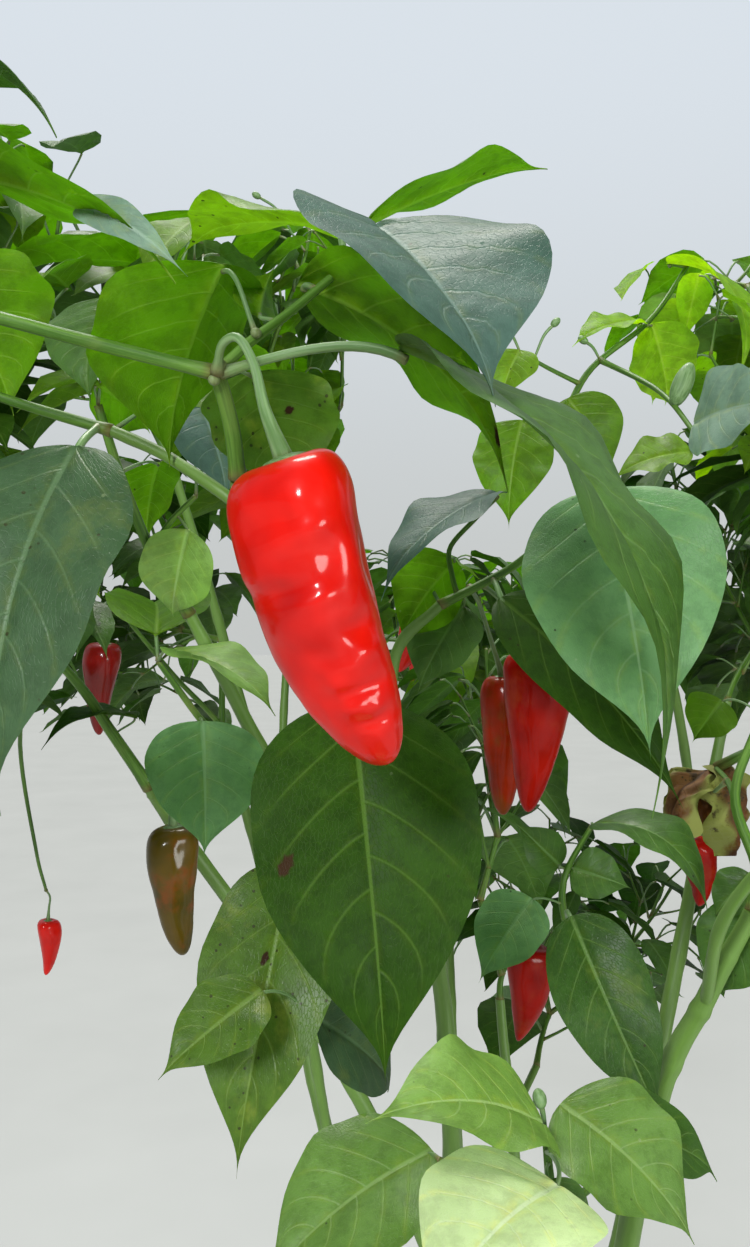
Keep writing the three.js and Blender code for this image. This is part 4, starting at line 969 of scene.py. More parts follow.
def finer_twig(spray, grown, fork, kind):
    draw = Draw(grown["seed"] + 311 * (fork + 1) + kind["rank"] + int(100 * kind["share"]))
    start = between(*grown["points"], kind["share"])
    way = grown["way"]
    turn = grown["twist"] + 0.9 + 2 * math.pi * fork / FINER_FORKS + draw.between(-0.4, 0.4)
    aside = turned(square_to(UP, way), way, turn)
    onward = unit(way + aside * math.tan(draw.between(0.5, 0.95)) + UP * TWIG_RISE)
    end = start + onward * kind["length"] * draw.between(0.8, 1.25)
    chain = np.array([between(start, end, share) for share in (0.35, 0.6, 1)])
    heart, reach = spray["grows"]["heart"], spray["grows"]["reach"]
    if np.linalg.norm(end - heart) > reach * FINER_REACH or spoils_the_view(chain):
        return None
    if chain_meets_blades(chain, FINER_CLEAR):
        return None
    if chain_meets_rods(chain, TWIG_RADII[kind["rank"]], grown["rod"], FINER_CLEAR):
        return None
    rod = hold_rod([start, end], TWIG_RADII[kind["rank"]])
    finer = {"points": (start, end), "rank": kind["rank"], "way": onward, "twist": turn, "rod": rod}
    return finer | {"seed": (grown["seed"] * 7 + fork + kind["rank"]) % 100003}


def finer_round(spray, tips, kind):
    tried = [finer_twig(spray, grown, fork, kind) for grown in tips for fork in range(FINER_FORKS)]
    found = [finer for finer in tried if finer]
    for finer in found:
        for slot, share in enumerate(kind["shares"]):
            grow_leaf(spray, finer, slot, share, kind["size"], FINER_CLEAR)
    return found


for spray in growing:
    spray["finer"] = []
    for kind in FINER_ROUNDS:
        spray["finer"] += finer_round(spray, list(spray[kind["on"]]), kind)
print("finer twigs:", sum(len(spray["finer"]) for spray in growing))
print("leaves in all:", held_blades.count)

# %% [markdown]
# Many small things could each be an object, but thousands of objects are slow to load and to export.
# They are best made straight from arrays of numbers and joined into a few meshes. A part is a list
# of points with its faces, the finish of each face, and marks on the points that the materials read.
# One function turns parts into a piece that rides on the plant.


# %% From arrays to meshes
def add_mark(mesh, name, values):
    """Keeps a number, or a place of three numbers, for every point of the mesh."""
    kind, key = ("FLOAT", "value") if values.ndim == 1 else ("FLOAT_VECTOR", "vector")
    mesh.attributes.new(name, kind, "POINT").data.foreach_set(key, values.astype(np.float32).ravel())


def keep_rims_sharp(mesh, finish_of_corner):
    """Marks the edges between two finishes as sharp, so that a thin sheet is shaded as two sides."""
    edge_of_corner = np.empty(len(mesh.loops), np.int32)
    mesh.loops.foreach_get("edge_index", edge_of_corner)
    least = np.full(len(mesh.edges), finish_of_corner.max())
    most = np.full(len(mesh.edges), finish_of_corner.min())
    np.minimum.at(least, edge_of_corner, finish_of_corner)
    np.maximum.at(most, edge_of_corner, finish_of_corner)
    mesh.attributes.new("sharp_edge", "BOOLEAN", "EDGE").data.foreach_set("value", least != most)


def new_piece(name, parts, finishes):
    points = np.vstack([part["points"] for part in parts]) * MM
    starts = np.cumsum([0] + [len(part["points"]) for part in parts])
    corners, sizes, slots = [], [], []
    for part, start in zip(parts, starts):
        for faces, finish in part["faces"]:
            corners.append((faces + start).ravel())
            sizes.append(np.full(len(faces), faces.shape[1]))
            slots.append(np.broadcast_to(finish, len(faces)))
    corners, sizes, slots = (np.concatenate(rows).astype(np.int32) for rows in (corners, sizes, slots))
    mesh = bpy.data.meshes.new(name)
    mesh.vertices.add(len(points))
    mesh.vertices.foreach_set("co", points.astype(np.float32).ravel())
    mesh.loops.add(len(corners))
    mesh.loops.foreach_set("vertex_index", corners)
    mesh.polygons.add(len(sizes))
    mesh.polygons.foreach_set("loop_start", (np.cumsum(sizes) - sizes).astype(np.int32))
    mesh.polygons.foreach_set("material_index", slots)
    for mark in parts[0]["marks"]:
        add_mark(mesh, mark, np.concatenate([part["marks"][mark] for part in parts]))
    mesh.update(calc_edges=True)
    mesh.shade_smooth()
    keep_rims_sharp(mesh, np.repeat(slots, sizes))
    for finish in finishes:
        mesh.materials.append(finish)
    piece = bpy.data.objects.new(name, mesh)
    bpy.context.scene.collection.objects.link(piece)
    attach(piece, "root")
    print(name, len(points), "points", int((sizes - 2).sum()), "triangles")
    return piece


def faces_outward(points, faces):
    """Turns the faces round if they enclose less than nothing."""
    volume = 0
    for rows, _ in faces:
        for corner in range(1, rows.shape[1] - 1):
            a, b, c = points[rows[:, 0]], points[rows[:, corner]], points[rows[:, corner + 1]]
            volume += dot(a, np.cross(b, c)).sum()
    return faces if volume > 0 else [(rows[:, ::-1], finish) for rows, finish in faces]


def ring_faces(rings, sides, first=1):
    """Quads between rings of a closed skin, and the triangles that close both its ends."""
    i = np.arange(sides)
    j = (i + 1) % sides
    starts = first + sides * np.arange(rings - 1)[:, None]
    quads = np.stack([starts + i, starts + j, starts + sides + j, starts + sides + i], axis=-1)
    last = first + sides * (rings - 1)
    foot = np.stack([np.zeros(sides, int), first + j, first + i], axis=-1)
    tip = np.stack([np.full(sides, last + sides), last + i, last + j], axis=-1)
    return quads.reshape(-1, 4), np.vstack([foot, tip])


def repeated(faces, count, points):
    """The same faces for every one of many like shapes."""
    return (faces[None] + points * np.arange(count)[:, None, None]).reshape(-1, faces.shape[1])


def tubes(lines, radii, sides, tint=0.5):
    """Round tubes along lines [n, rings, 3] with radii [n, rings], closed at both ends."""
    lines, radii = np.asarray(lines, float), np.asarray(radii, float)
    count, rings = radii.shape
    ways = unit(np.gradient(lines, axis=1))
    side = np.cross(ways[:, 0], at(0.31, 0.22, 0.93))
    angle = 2 * math.pi * np.arange(sides) / sides
    skin = np.empty((count, rings, sides, 3))
    for ring in range(rings):
        way = ways[:, ring]
        side = unit(side - way * dot(side, way)[:, None])
        across = np.cross(way, side)
        round_it = side[:, None] * np.cos(angle)[:, None] + across[:, None] * np.sin(angle)[:, None]
        skin[:, ring] = lines[:, ring, None] + round_it * radii[:, ring, None, None]
    points = np.concatenate([lines[:, :1], skin.reshape(count, -1, 3), lines[:, -1:]], axis=1)
    quads, ends = ring_faces(rings, sides)
    each = rings * sides + 2
    faces = faces_outward(points[0], [(quads, 0), (ends, 0)])
    faces = [(repeated(rows, count, each), finish) for rows, finish in faces]
    tints = np.broadcast_to(np.asarray(tint, float).reshape(-1, 1), (count, each)).ravel()
    steps = np.linalg.norm(np.diff(lines, axis=1), axis=2)
    along = np.concatenate([np.zeros((count, 1)), np.cumsum(steps, axis=1)], axis=1)
    round_it = np.stack([np.cos(angle), np.sin(angle)], axis=1)
    places = np.zeros((count, rings, sides, 3))
    places[..., :2] = radii[..., None, None] * round_it
    places[..., 2] = along[..., None]
    far = along[:, -1:]
    ends = np.zeros((count, 1, 3)), np.stack([0 * far, 0 * far, far], axis=-1)
    places = np.concatenate([ends[0], places.reshape(count, -1, 3), ends[1]], axis=1)
    joint = np.exp(-((places[..., 2] / 2.2) ** 2)) + 0.6 * np.exp(-(((far - places[..., 2]) / 1.2) ** 2))
    places[..., 2] += 37 * np.arange(count)[:, None]
    marks = {"tint": tints, "joint": joint.ravel(), "skin": places.reshape(-1, 3)}
    return {"points": points.reshape(-1, 3), "faces": faces, "marks": marks}


print("a tube of 4 rings with 6 sides has", len(ring_faces(4, 6)[0]), "quads")

# %% [markdown]
# A leaf blade is a thin closed sheet: an upper and an under side that share the margin. Real blades
# are quilted, because the tissue between the curved side veins bulges up; the midrib is a groove
# above and a ridge below, and the margin runs in slow waves. A picture of a leaf on a flat card would
# show none of that from the side. All of it is shape here, so that it catches the light, and the
# marks on the points tell the material where the veins are.

# %% Blades as thin sheets
FINE_STATIONS = 30
FINE_MARKS = (0, 0.04, 0.1, 0.19, 0.31, 0.45, 0.6, 0.74, 0.88, 1)
NEAR_STATIONS = (0.012, 0.05, 0.11, 0.2, 0.31, 0.43, 0.55, 0.67, 0.78, 0.88, 0.95, 0.985)
NEAR_MARKS = (0, 0.3, 0.65, 1)
NEAR_LEAF = 620
COARSE_STATIONS = (0.03, 0.11, 0.25, 0.42, 0.6, 0.78, 0.93)
COARSE_MARKS = (0, 0.5, 1)
LEAF_THICKNESS = 0.32
SIDE_VEINS = 7
VEIN_SWEEP = 0.26


def both_sides(marks):
    return np.array([-mark for mark in marks[:0:-1]] + list(marks), float)


def leaf_outline(share, lean):
    """Half the width of a blade along its midrib: round at the base, drawn out to the tip."""
    widest = 0.31 + lean
    below = np.clip(share / widest, 0, 1)
    above = np.clip((share - widest) / (1 - widest), 0, 1)
    base = (1 - (1 - below) ** 2) ** 0.47
    point = (1 - above**2) ** (1.12 + 1.5 * above**3)
    return base * point


def leaf_sheets(blades, stations, marks, seed, quilt=1.0, crumple=0.0):
    rng = np.random.default_rng(seed)
    count = len(blades)

    def column(name):
        return np.array([blade[name] for blade in blades], float)[:, None, None]

    def varied(low, high):
        return rng.uniform(low, high, (count, 1, 1))

    share = np.asarray(stations, float)[None, :, None]
    across = both_sides(marks)[None, None, :]
    length, width, bow, fold = (column(name) for name in ("length", "width", "bow", "fold"))
    half = width / 2 * leaf_outline(share, varied(-0.03, 0.03) * np.sign(across))
    aside = np.abs(across)
    ribbed = np.maximum(1.12 - share, 0.14)
    rib = across * half
    phase = SIDE_VEINS * (share - VEIN_SWEEP * aside**1.3) + varied(0, 0.3) + 0.4 * (across > 0)

    wave = varied(0.05, 0.12) * (1 + 3 * crumple)
    turns, shift = varied(1.6, 2.8), varied(0, 6.3)
    sway = length * varied(-0.02, 0.02) * np.sin(math.pi * share) * (1 + 3 * crumple)
    margin = 1 + 0.018 * np.sin(2 * math.pi * turns * 1.4 * share + shift) * aside
    gutter = (np.sqrt(aside**2 + 0.02) - 0.141) / 0.87
    high = fold * gutter * half + bow * 4 * length * share * (1 - share)
    high = high + wave * half * aside**2 * np.sin(2 * math.pi * turns * share + shift + 1.7 * np.sign(across))
    high = high - varied(0.02, 0.07) * length * np.clip((share - 0.7) / 0.3, 0, 1) ** 2
    high = high - varied(0.0, 0.06) * half * aside**4
    fade = np.clip(aside / 0.14, 0, 1) * (1 - aside**3) * np.clip((1 - share) / 0.25, 0, 1)
    bulge = np.abs(np.sin(math.pi * phase)) ** 0.8
    high = high + quilt * 0.019 * width * bulge * fade
    shrunk = np.sin(11 * share + 4 * across + shift) + 0.6 * np.sin(23 * share - 9 * across + 2 * shift)
    high = high + crumple * width * 0.22 * shrunk * np.clip(0.25 + aside, 0, 1)
    high = high - crumple * width * 1.1 * aside**2.2 * (1 + 0.5 * np.sin(6 * share + shift))
    rib = rib * (1 - crumple * 0.5 * aside * (1 + 0.6 * np.sin(17 * share + 3 * np.sign(across) + shift)))
    taper = np.clip(1.1 - share, 0, 1)
    groove = 0.5 * np.exp(-((rib / 1.3) ** 2)) * taper * quilt
    upper = high - groove
    ridge = 1.1 * np.exp(-((rib / 1.0) ** 2)) * taper + 0.25 * (1 - bulge) ** 3 * fade
    lower = high - (LEAF_THICKNESS + ridge * quilt) * np.ones_like(across)

    def sheet(height):
        spine = column_of("base") + column_of("way") * (length * share)[..., None]
        wide = (rib * margin + sway)[..., None] * column_of("side")
        return spine + wide + height[..., None] * column_of("over")

    def column_of(name):
        return np.array([blade[name] for blade in blades], float)[:, None, None, :]

    def ringed(values):
        return np.concatenate([values, values[:, :, -2:0:-1]], axis=2)

    skin = np.concatenate([sheet(upper), sheet(lower)[:, :, -2:0:-1]], axis=2)
    rings, sides = skin.shape[1:3]
    base = np.array([blade["base"] for blade in blades])[:, None]
    spine_tip = skin[:, -1].mean(axis=1)
    tip = spine_tip + (column_of("way")[:, 0, 0] * (length[:, 0] * (1 - share[0, -1])))
    points = np.concatenate([base, skin.reshape(count, -1, 3), tip[:, None]], axis=1)
    quads, ends = ring_faces(rings, sides)
    upper_side = np.arange(sides) < across.size - 1
    slots = np.where(upper_side, 0, 1)
    faces = [(quads, np.tile(slots, rings - 1)), (ends, np.tile(slots, 2))]
    each = rings * sides + 2
    faces = faces_outward(points[0], faces)
    faces = [(repeated(rows, count, each), np.tile(finish, count)) for rows, finish in faces]

    def marked(values, at_base, at_tip):
        values = ringed(np.broadcast_to(values, (count, rings, across.size))).reshape(count, -1)
        ends = np.full((count, 1), at_base), np.full((count, 1), at_tip)
        return np.concatenate([ends[0], values, ends[1]], axis=1).ravel()

    marks_of = {
        "rib": marked(rib / ribbed, 0, 0),
        "vein": marked(SIDE_VEINS * (share - VEIN_SWEEP * aside**1.3), 0, SIDE_VEINS),
        "across": marked(across, 0, 0),
        "tint": np.repeat(rng.uniform(0, 1, count), each),
        "scorch": np.zeros(count * each),
    }
    return {"points": points.reshape(-1, 3), "faces": faces, "marks": marks_of}


fine_shares = 0.5 - 0.5 * np.cos(math.pi * (np.arange(FINE_STATIONS) + 0.6) / FINE_STATIONS)
sample = leaf_sheets(placed_blades[:1], fine_shares, FINE_MARKS, 1)
print("a placed leaf has", len(sample["points"]), "points")

# %% [markdown]
# A finish is a small network of nodes, as it could be wired by hand in the shader editor. In a script
# the same few moves come back in every finish: a node is made and its sockets are joined, two values
# are multiplied or added, a soft step runs between two values, and two colours are mixed. Each gets a
# helper with a plain name, so that the finishes below read like recipes.


# %% Helpers for finishes
def node(tree, kind, inputs=None, **settings):
    made = tree.nodes.new("ShaderNode" + kind)
    for name, value in settings.items():
        setattr(made, name, value)
    for socket, value in (inputs or {}).items():
        if isinstance(value, bpy.types.NodeSocket):
            tree.links.new(value, made.inputs[socket])
        else:
            made.inputs[socket].default_value = value
    return made


def maths(tree, operation, *values):
    return node(tree, "Math", dict(enumerate(values)), operation=operation).outputs[0]


def times(tree, value, factor):
    return maths(tree, "MULTIPLY", value, factor)


def plus(tree, value, other):
    return maths(tree, "ADD", value, other)


def soft_step(tree, value, low, high, to_low=0.0, to_high=1.0):
    inputs = {"Value": value, "From Min": low, "From Max": high, "To Min": to_low, "To Max": to_high}
    return node(tree, "MapRange", inputs, interpolation_type="SMOOTHSTEP").outputs[0]


def mixed(tree, factor, one, other):
    return node(tree, "Mix", {0: factor, 6: one, 7: other}, data_type="RGBA").outputs[2]


def mark_of(tree, name, output="Fac"):
    return node(tree, "Attribute", attribute_name=name).outputs[output]


def noise_of(tree, place, scale, detail=3.0, roughness=0.55, stretch=None):
    if stretch:
        place = node(tree, "Mapping", {"Vector": place, "Scale": stretch}).outputs[0]
    inputs = {"Vector": place, "Scale": scale, "Detail": detail, "Roughness": roughness}
    return node(tree, "TexNoise", inputs).outputs["Fac"]


def cells_of(tree, place, scale, feature="F1"):
    return node(tree, "TexVoronoi", {"Vector": place, "Scale": scale}, feature=feature).outputs["Distance"]


def new_finish(name):
    finish = bpy.data.materials.new(name)
    finish.use_nodes = True
    tree = finish.node_tree
    tree.nodes.clear()
    return finish, tree, node(tree, "TexCoord").outputs["Object"]


def colour(red, green, blue):
    return (red, green, blue, 1.0)


def to_output(tree, shader):
    node(tree, "OutputMaterial", {"Surface": shader})


def bumped(tree, height, depth, strength=1.0):
    return node(tree, "Bump", {"Height": height, "Distance": depth, "Strength": strength}).outputs[0]


print("a green as a node takes it:", colour(0.1, 0.24, 0.02))

# %% [markdown]
# Leaves let light through: seen against the light they glow yellow-green, and seen from above they
# are darker and bluer with a waxy sheen. One glossy surface can't do both, so each leaf finish mixes
# it with a translucent one. There is a version for the upper side and one for the duller under side,
# where the side veins stand out instead of sinking in.


# %% Leaf finishes
def leaf_finish(name, tone, under):
    finish, tree, place = new_finish(name)
    rib, vein, across, tint = (mark_of(tree, mark) for mark in ("rib", "vein", "across", "tint"))
    aside = maths(tree, "ABSOLUTE", across)
    right = maths(tree, "GREATER_THAN", across, 0.0)
    phase = plus(tree, vein, times(tree, right, 0.4))
    phase = plus(tree, phase, times(tree, tint, 0.3))
    from_vein = maths(tree, "ABSOLUTE", maths(tree, "SUBTRACT", maths(tree, "FRACT", phase), 0.5))
    fading = soft_step(tree, aside, 0.98, 0.5)
    side_vein = times(tree, soft_step(tree, from_vein, 0.44, 0.5), fading)
    midrib = soft_step(tree, maths(tree, "ABSOLUTE", rib), 1.2, 0.45)
    spot = node(tree, "CombineXYZ", {0: times(tree, rib, 0.3), 1: phase, 2: tint}).outputs[0]
    spot = node(tree, "Mapping", {"Vector": spot, "Scale": (1.7, 7.0, 40.0)}).outputs[0]
    net = soft_step(tree, cells_of(tree, spot, 1.0, "DISTANCE_TO_EDGE"), 0.09, 0.0)
    broad = noise_of(tree, place, 26, 3)
    fine = noise_of(tree, place, 420, 2)

    base = mixed(tree, soft_step(tree, broad, 0.3, 0.72), tone["dark"], tone["light"])
    base = mixed(tree, soft_step(tree, tint, 0.0, 1.0, 0.0, 0.35), base, tone["light"])
    base = mixed(tree, times(tree, fine, 0.25), base, tone["dark"])
    glow = mixed(tree, soft_step(tree, broad, 0.25, 0.8), tone["glow"], tone["glow_light"])
    mottled = soft_step(tree, noise_of(tree, place, 150, 4, 0.7), 0.42, 0.64, 0.0, 0.45)
    base = mixed(tree, mottled, base, tone["shaded"])
    glow = mixed(tree, times(tree, mottled, 0.5), glow, tone["shaded"])
    halo = soft_step(tree, maths(tree, "ABSOLUTE", rib), 5.0, 0.8, 0.0, 0.7)
    halo = maths(tree, "MAXIMUM", halo, times(tree, soft_step(tree, from_vein, 0.3, 0.48), 0.5))
    broken = soft_step(tree, noise_of(tree, place, 210, 3, 0.6), 0.38, 0.62, 0.0, 0.5)
    halo = times(tree, halo, broken)
    base = mixed(tree, halo, base, tone["warmed"])
    veins = times(tree, side_vein, 0.5)
    veins = maths(tree, "MAXIMUM", veins, times(tree, midrib, 0.5 if under else 0.8))
    veins = maths(tree, "MAXIMUM", veins, times(tree, net, 0.12))
    base = mixed(tree, veins, base, tone["vein"])
    glow = mixed(tree, times(tree, veins, 0.6), glow, tone["glow_vein"])
    if tone["yellow"]:
        patches = soft_step(tree, noise_of(tree, place, 60, 4, 0.65), 0.52, 0.72, 0.0, tone["yellow"])
        base = mixed(tree, patches, base, colour(0.38, 0.42, 0.07))
        glow = mixed(tree, patches, glow, colour(0.62, 0.7, 0.04))
    specks = soft_step(tree, cells_of(tree, place, 260), 0.17, 0.1)
    chosen = soft_step(tree, noise_of(tree, place, 90, 2), 0.62 - tone["specks"], 0.7 - tone["specks"])
    specks = times(tree, specks, chosen)
    base = mixed(tree, times(tree, specks, 0.8), base, colour(0.05, 0.05, 0.015))
    glow = mixed(tree, times(tree, specks, 0.85), glow, colour(0.03, 0.04, 0.005))

    pocks = plus(tree, cells_of(tree, place, 75), times(tree, fine, 0.05))
    pocks = soft_step(tree, pocks, 0.08, 0.05)
    pocks = times(tree, pocks, soft_step(tree, noise_of(tree, place, 31, 2), 0.52, 0.58))
    base = mixed(tree, times(tree, pocks, 0.35), base, colour(0.42, 0.5, 0.26))
    glow = mixed(tree, times(tree, pocks, 0.5), glow, colour(0.55, 0.65, 0.28))
    if tone["blotched"]:
        rim = plus(tree, aside, times(tree, noise_of(tree, place, 80, 3), 0.9))
        rim = soft_step(tree, rim, 0.8, 1.2)
        base = mixed(tree, rim, base, colour(0.34, 0.37, 0.09))
        glow = mixed(tree, rim, glow, colour(0.5, 0.52, 0.06))
        dead = soft_step(tree, noise_of(tree, place, 60, 5, 0.7), 0.54, 0.64, 0.0, 0.85)
        base = mixed(tree, dead, base, colour(0.05, 0.022, 0.014))
        glow = mixed(tree, dead, glow, colour(0.04, 0.014, 0.005))
    ragged = plus(tree, mark_of(tree, "scorch"), times(tree, noise_of(tree, place, 500), 0.5))
    scorch = soft_step(tree, ragged, 0.62, 0.86)
    base = mixed(tree, scorch, base, colour(0.06, 0.028, 0.01))
    glow = mixed(tree, scorch, glow, colour(0.05, 0.02, 0.003))
    height = plus(tree, times(tree, fine, 0.35), times(tree, net, -0.16))
    height = plus(tree, height, times(tree, side_vein, 0.7 if under else -0.5))
    normal = bumped(tree, height, 0.0004, 0.6)
    gloss = soft_step(tree, broad, 0.2, 0.8, tone["rough"] + (0.14 if under else 0.0), tone["rough"] + 0.14)
    inputs = {"Base Color": base, "Roughness": gloss, "Normal": normal}
    surface = node(tree, "BsdfPrincipled", inputs)
    surface.inputs["Specular IOR Level"].default_value = 0.15 if under else tone["shine"]
    through = node(tree, "BsdfTranslucent", {"Color": glow, "Normal": normal})
    shader = node(tree, "MixShader", {0: tone["through"], 1: surface.outputs[0], 2: through.outputs[0]})
    to_output(tree, shader.outputs[0])
    return finish


def leaf_tone(
    dark, light, vein, glow, rough=0.34, specks=0.0, through=0.5, yellow=0.0, shine=0.4, blotched=False
):
    dark, light, vein, glow = (colour(*values) for values in (dark, light, vein, glow))
    lighter = tuple(min(1.0, value * 1.25) for value in glow[:3])
    tone = {"dark": dark, "light": light, "vein": vein, "glow": glow, "glow_light": colour(*lighter)}
    paler = tuple(min(1.0, value * 1.3 + 0.06) for value in glow[:3])
    shaded = tuple(value * 0.68 for value in dark[:3])
    warmed = (light[0] * 1.5 + 0.01, light[1] * 1.15, light[2] * 0.4)
    tone |= {"shaded": colour(*shaded), "warmed": colour(*warmed)}
    tone |= {"glow_vein": colour(*paler), "rough": rough, "specks": specks}
    return tone | {"through": through, "yellow": yellow, "shine": shine, "blotched": blotched}


TONES = {
    "deep": leaf_tone(
        (0.022, 0.07, 0.002), (0.044, 0.12, 0.005), (0.12, 0.24, 0.03), (0.07, 0.2, 0.003), 0.42, shine=0.18
    ),
    "mid": leaf_tone((0.06, 0.15, 0.02), (0.11, 0.24, 0.045), (0.2, 0.36, 0.1), (0.16, 0.32, 0.006)),
    "dim": leaf_tone(
        (0.035, 0.1, 0.012), (0.07, 0.165, 0.028), (0.18, 0.32, 0.08), (0.1, 0.24, 0.005),
        yellow=0.15, shine=0.28,
    ),
    # Partly the grey-green of the leaf and partly painted light: this colour is lighter than the leaf, as if
    # more light reached it.
    "misty": leaf_tone((0.19, 0.42, 0.16), (0.29, 0.54, 0.25), (0.38, 0.62, 0.32), (0.24, 0.48, 0.05), 0.38),
    # Painted reflection: a light blue-grey shine of the sky on an upper side is painted into this colour.
    "silver": leaf_tone((0.21, 0.34, 0.26), (0.36, 0.52, 0.41), (0.44, 0.58, 0.48), (0.24, 0.42, 0.12), 0.42),
    "dull": leaf_tone(
        (0.065, 0.14, 0.055), (0.105, 0.2, 0.095), (0.16, 0.28, 0.13), (0.09, 0.2, 0.02),
        0.38, specks=0.1, yellow=0.16,
    ),
    # Painted reflection: the blue-grey shine of the sky on an upper side is painted into this colour.
    "sheen": leaf_tone((0.07, 0.15, 0.11), (0.12, 0.22, 0.18), (0.2, 0.32, 0.26), (0.12, 0.26, 0.03), 0.42),
    "bright": leaf_tone(
        (0.1, 0.2, 0.006), (0.18, 0.33, 0.012), (0.32, 0.46, 0.08), (0.28, 0.54, 0.002), through=0.6
    ),
    # Painted light: a still lighter copy of the bright tone, with the strongest glow, for leaves with the sun
    # behind them.
    "flaring": leaf_tone(
        (0.2, 0.36, 0.02), (0.36, 0.54, 0.05), (0.5, 0.66, 0.16), (0.6, 0.9, 0.02), through=0.72
    ),
    # Painted light: a lighter copy of the bright tone, with a stronger glow, for leaves that the sun shines
    # through.
    "glowing": leaf_tone(
        (0.15, 0.27, 0.01), (0.27, 0.43, 0.03), (0.42, 0.56, 0.12), (0.42, 0.66, 0.005),
        specks=0.12, through=0.65,
    ),
    "specked": leaf_tone(
        (0.08, 0.17, 0.016), (0.14, 0.26, 0.03), (0.24, 0.38, 0.08), (0.16, 0.32, 0.008),
        specks=0.22, yellow=0.4,
    ),
    "fresh": leaf_tone((0.12, 0.24, 0.035), (0.21, 0.36, 0.09), (0.34, 0.5, 0.17), (0.26, 0.46, 0.02)),
    "pale": leaf_tone((0.2, 0.36, 0.06), (0.36, 0.55, 0.15), (0.5, 0.68, 0.26), (0.34, 0.58, 0.05)),
    # Painted light: a pale copy of a leaf colour for leaves in full sun.
    "sunlit": leaf_tone((0.64, 0.78, 0.4), (0.82, 0.9, 0.58), (0.86, 0.92, 0.7), (0.5, 0.7, 0.2)),
    "withered": leaf_tone(
        (0.12, 0.035, 0.012), (0.3, 0.15, 0.04), (0.06, 0.025, 0.012), (0.4, 0.2, 0.03),
        0.55, 0.3, 0.3, 0.3, blotched=True,
    ),
}
LEAF_FINISHES = {
    name: [leaf_finish("leaf_" + name, tone, False), leaf_finish("leaf_" + name + "_under", tone, True)]
    for name, tone in TONES.items()
}
print("leaf finishes:", 2 * len(LEAF_FINISHES))

# %% [markdown]
# Leaves of one tone share a finish, so they are gathered by tone. A placed leaf brings its tone with
# it, and the grown ones are dealt theirs from the tones of their spray. A few placed leaves are then
# set a little closer to where the photograph shows them, and three odd ones are added that the growth
# needn't mind: two shrivelled blades beside the withered one, and a narrow twisted tip. The leaves of
# one tone then go into one mesh, the placed ones with many faces and the grown ones with a few dozen
# each. Brown spots are marks on the points of whatever placed leaf is seen at their place.

# %% All leaves, tone by tone
SPRAYS = list(MASSES)
by_tone = {name: {"placed": [], "near": [], "grown": []} for name in TONES}
for blade in placed_blades:
    by_tone[blade["tone"]]["placed"].append(blade)
for spray in growing:
    dealt = Draw(spray["grows"]["seed"] + 90001)
    for blade in spray["blades"]:
        tones = spray["tones"]
        kind = "near" if np.linalg.norm(blade["middle"] - EYE) < NEAR_LEAF else "grown"
        by_tone[tones[int(dealt.next() * len(tones))]][kind].append(blade)
placed_blades[0]["root"] = seen(256, 334, 262)
BROWN_SPOTS = ((507, 429, 3.2), (289, 408, 1.8), (281, 868, 1.1), (262, 958, 1.6))
MOVED_LEAVES = ((562, 914, 9, 2, 39), (541, 902, -9, -4, 32), (744, 874, 9, 2, 19), (262, 990, 0, 0, 26))
for right, low, aside, lower, width in MOVED_LEAVES:
    across, down, _ = sight_of(np.array([blade["base"] for blade in placed_blades]))
    blade = placed_blades[int(np.argmin(np.abs(across - right) + np.abs(down - low)))]
    off = blade["base"][1] - EYE[1]
    shift = seen(right + aside, low + lower, off) - seen(right, low, off)
    blade |= {"base": blade["base"] + shift, "tip": blade["tip"] + shift, "width": width}
CURLED = (
    ("withered", (716, 764, 524), (738, 856, 518), 30, 40, 0.7),
    ("withered", (690, 772, 530), (712, 838, 536), 26, 10, 0.7),
    # The narrow twisted tip shows its upper side, whose blue-grey shine of the sky is painted into its
    # colour.
    ("silver", (76, 206, 243), (185, 271, 236), 9, 20, 0.2),
)
for tone, base, tip, width, roll, fold in CURLED:
    entry = leaf(tone, base, tip, width, roll, 0.15, fold)
    by_tone[tone]["placed"].append(placed_blade(entry, MASSES["spray_right_edge"]["twigs"]))
placed_parts = {}
for seed, (name, kinds) in enumerate(by_tone.items()):
    if kinds["placed"]:
        crumple = 0.5 if name == "withered" else 0.0
        placed_parts[name] = leaf_sheets(kinds["placed"], fine_shares, FINE_MARKS, seed + 5, crumple=crumple)
all_points = np.vstack([part["points"] for part in placed_parts.values()])
across, down, off = sight_of(all_points)
for right, low, size in BROWN_SPOTS:
    nearest = np.argmin(np.hypot(across - right, down - low) + np.maximum(off, 0) * 0.05)
    for part in placed_parts.values():
        far = np.linalg.norm(part["points"] - all_points[nearest], axis=1)
        part["marks"]["scorch"] += np.exp(-((far / size) ** 2))
for seed, (name, kinds) in enumerate(by_tone.items()):
    parts = [placed_parts[name]] if name in placed_parts else []
    if kinds["near"]:
        parts.append(leaf_sheets(kinds["near"], NEAR_STATIONS, NEAR_MARKS, seed + 30))
    if kinds["grown"]:
        parts.append(leaf_sheets(kinds["grown"], COARSE_STATIONS, COARSE_MARKS, seed + 50))
    piece = new_piece("leaves_" + name, parts, LEAF_FINISHES[name])
    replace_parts(piece, *SPRAYS)

# %% [markdown]
# The green boughs, twigs and leaf stalks have a thin smooth skin with fine lengthwise lines, paler
# on the ridges, and a little brown at the joints. Towards the foot the stem turns woody: grey-brown
# corky bark with fissures that run up it. Noise on plain coordinates would cut across a slanting
# limb, so the lines are drawn in the skin's own places, round the limb and along it. On the stem one
# finish does both, fading from bark to green with the height above the ground.


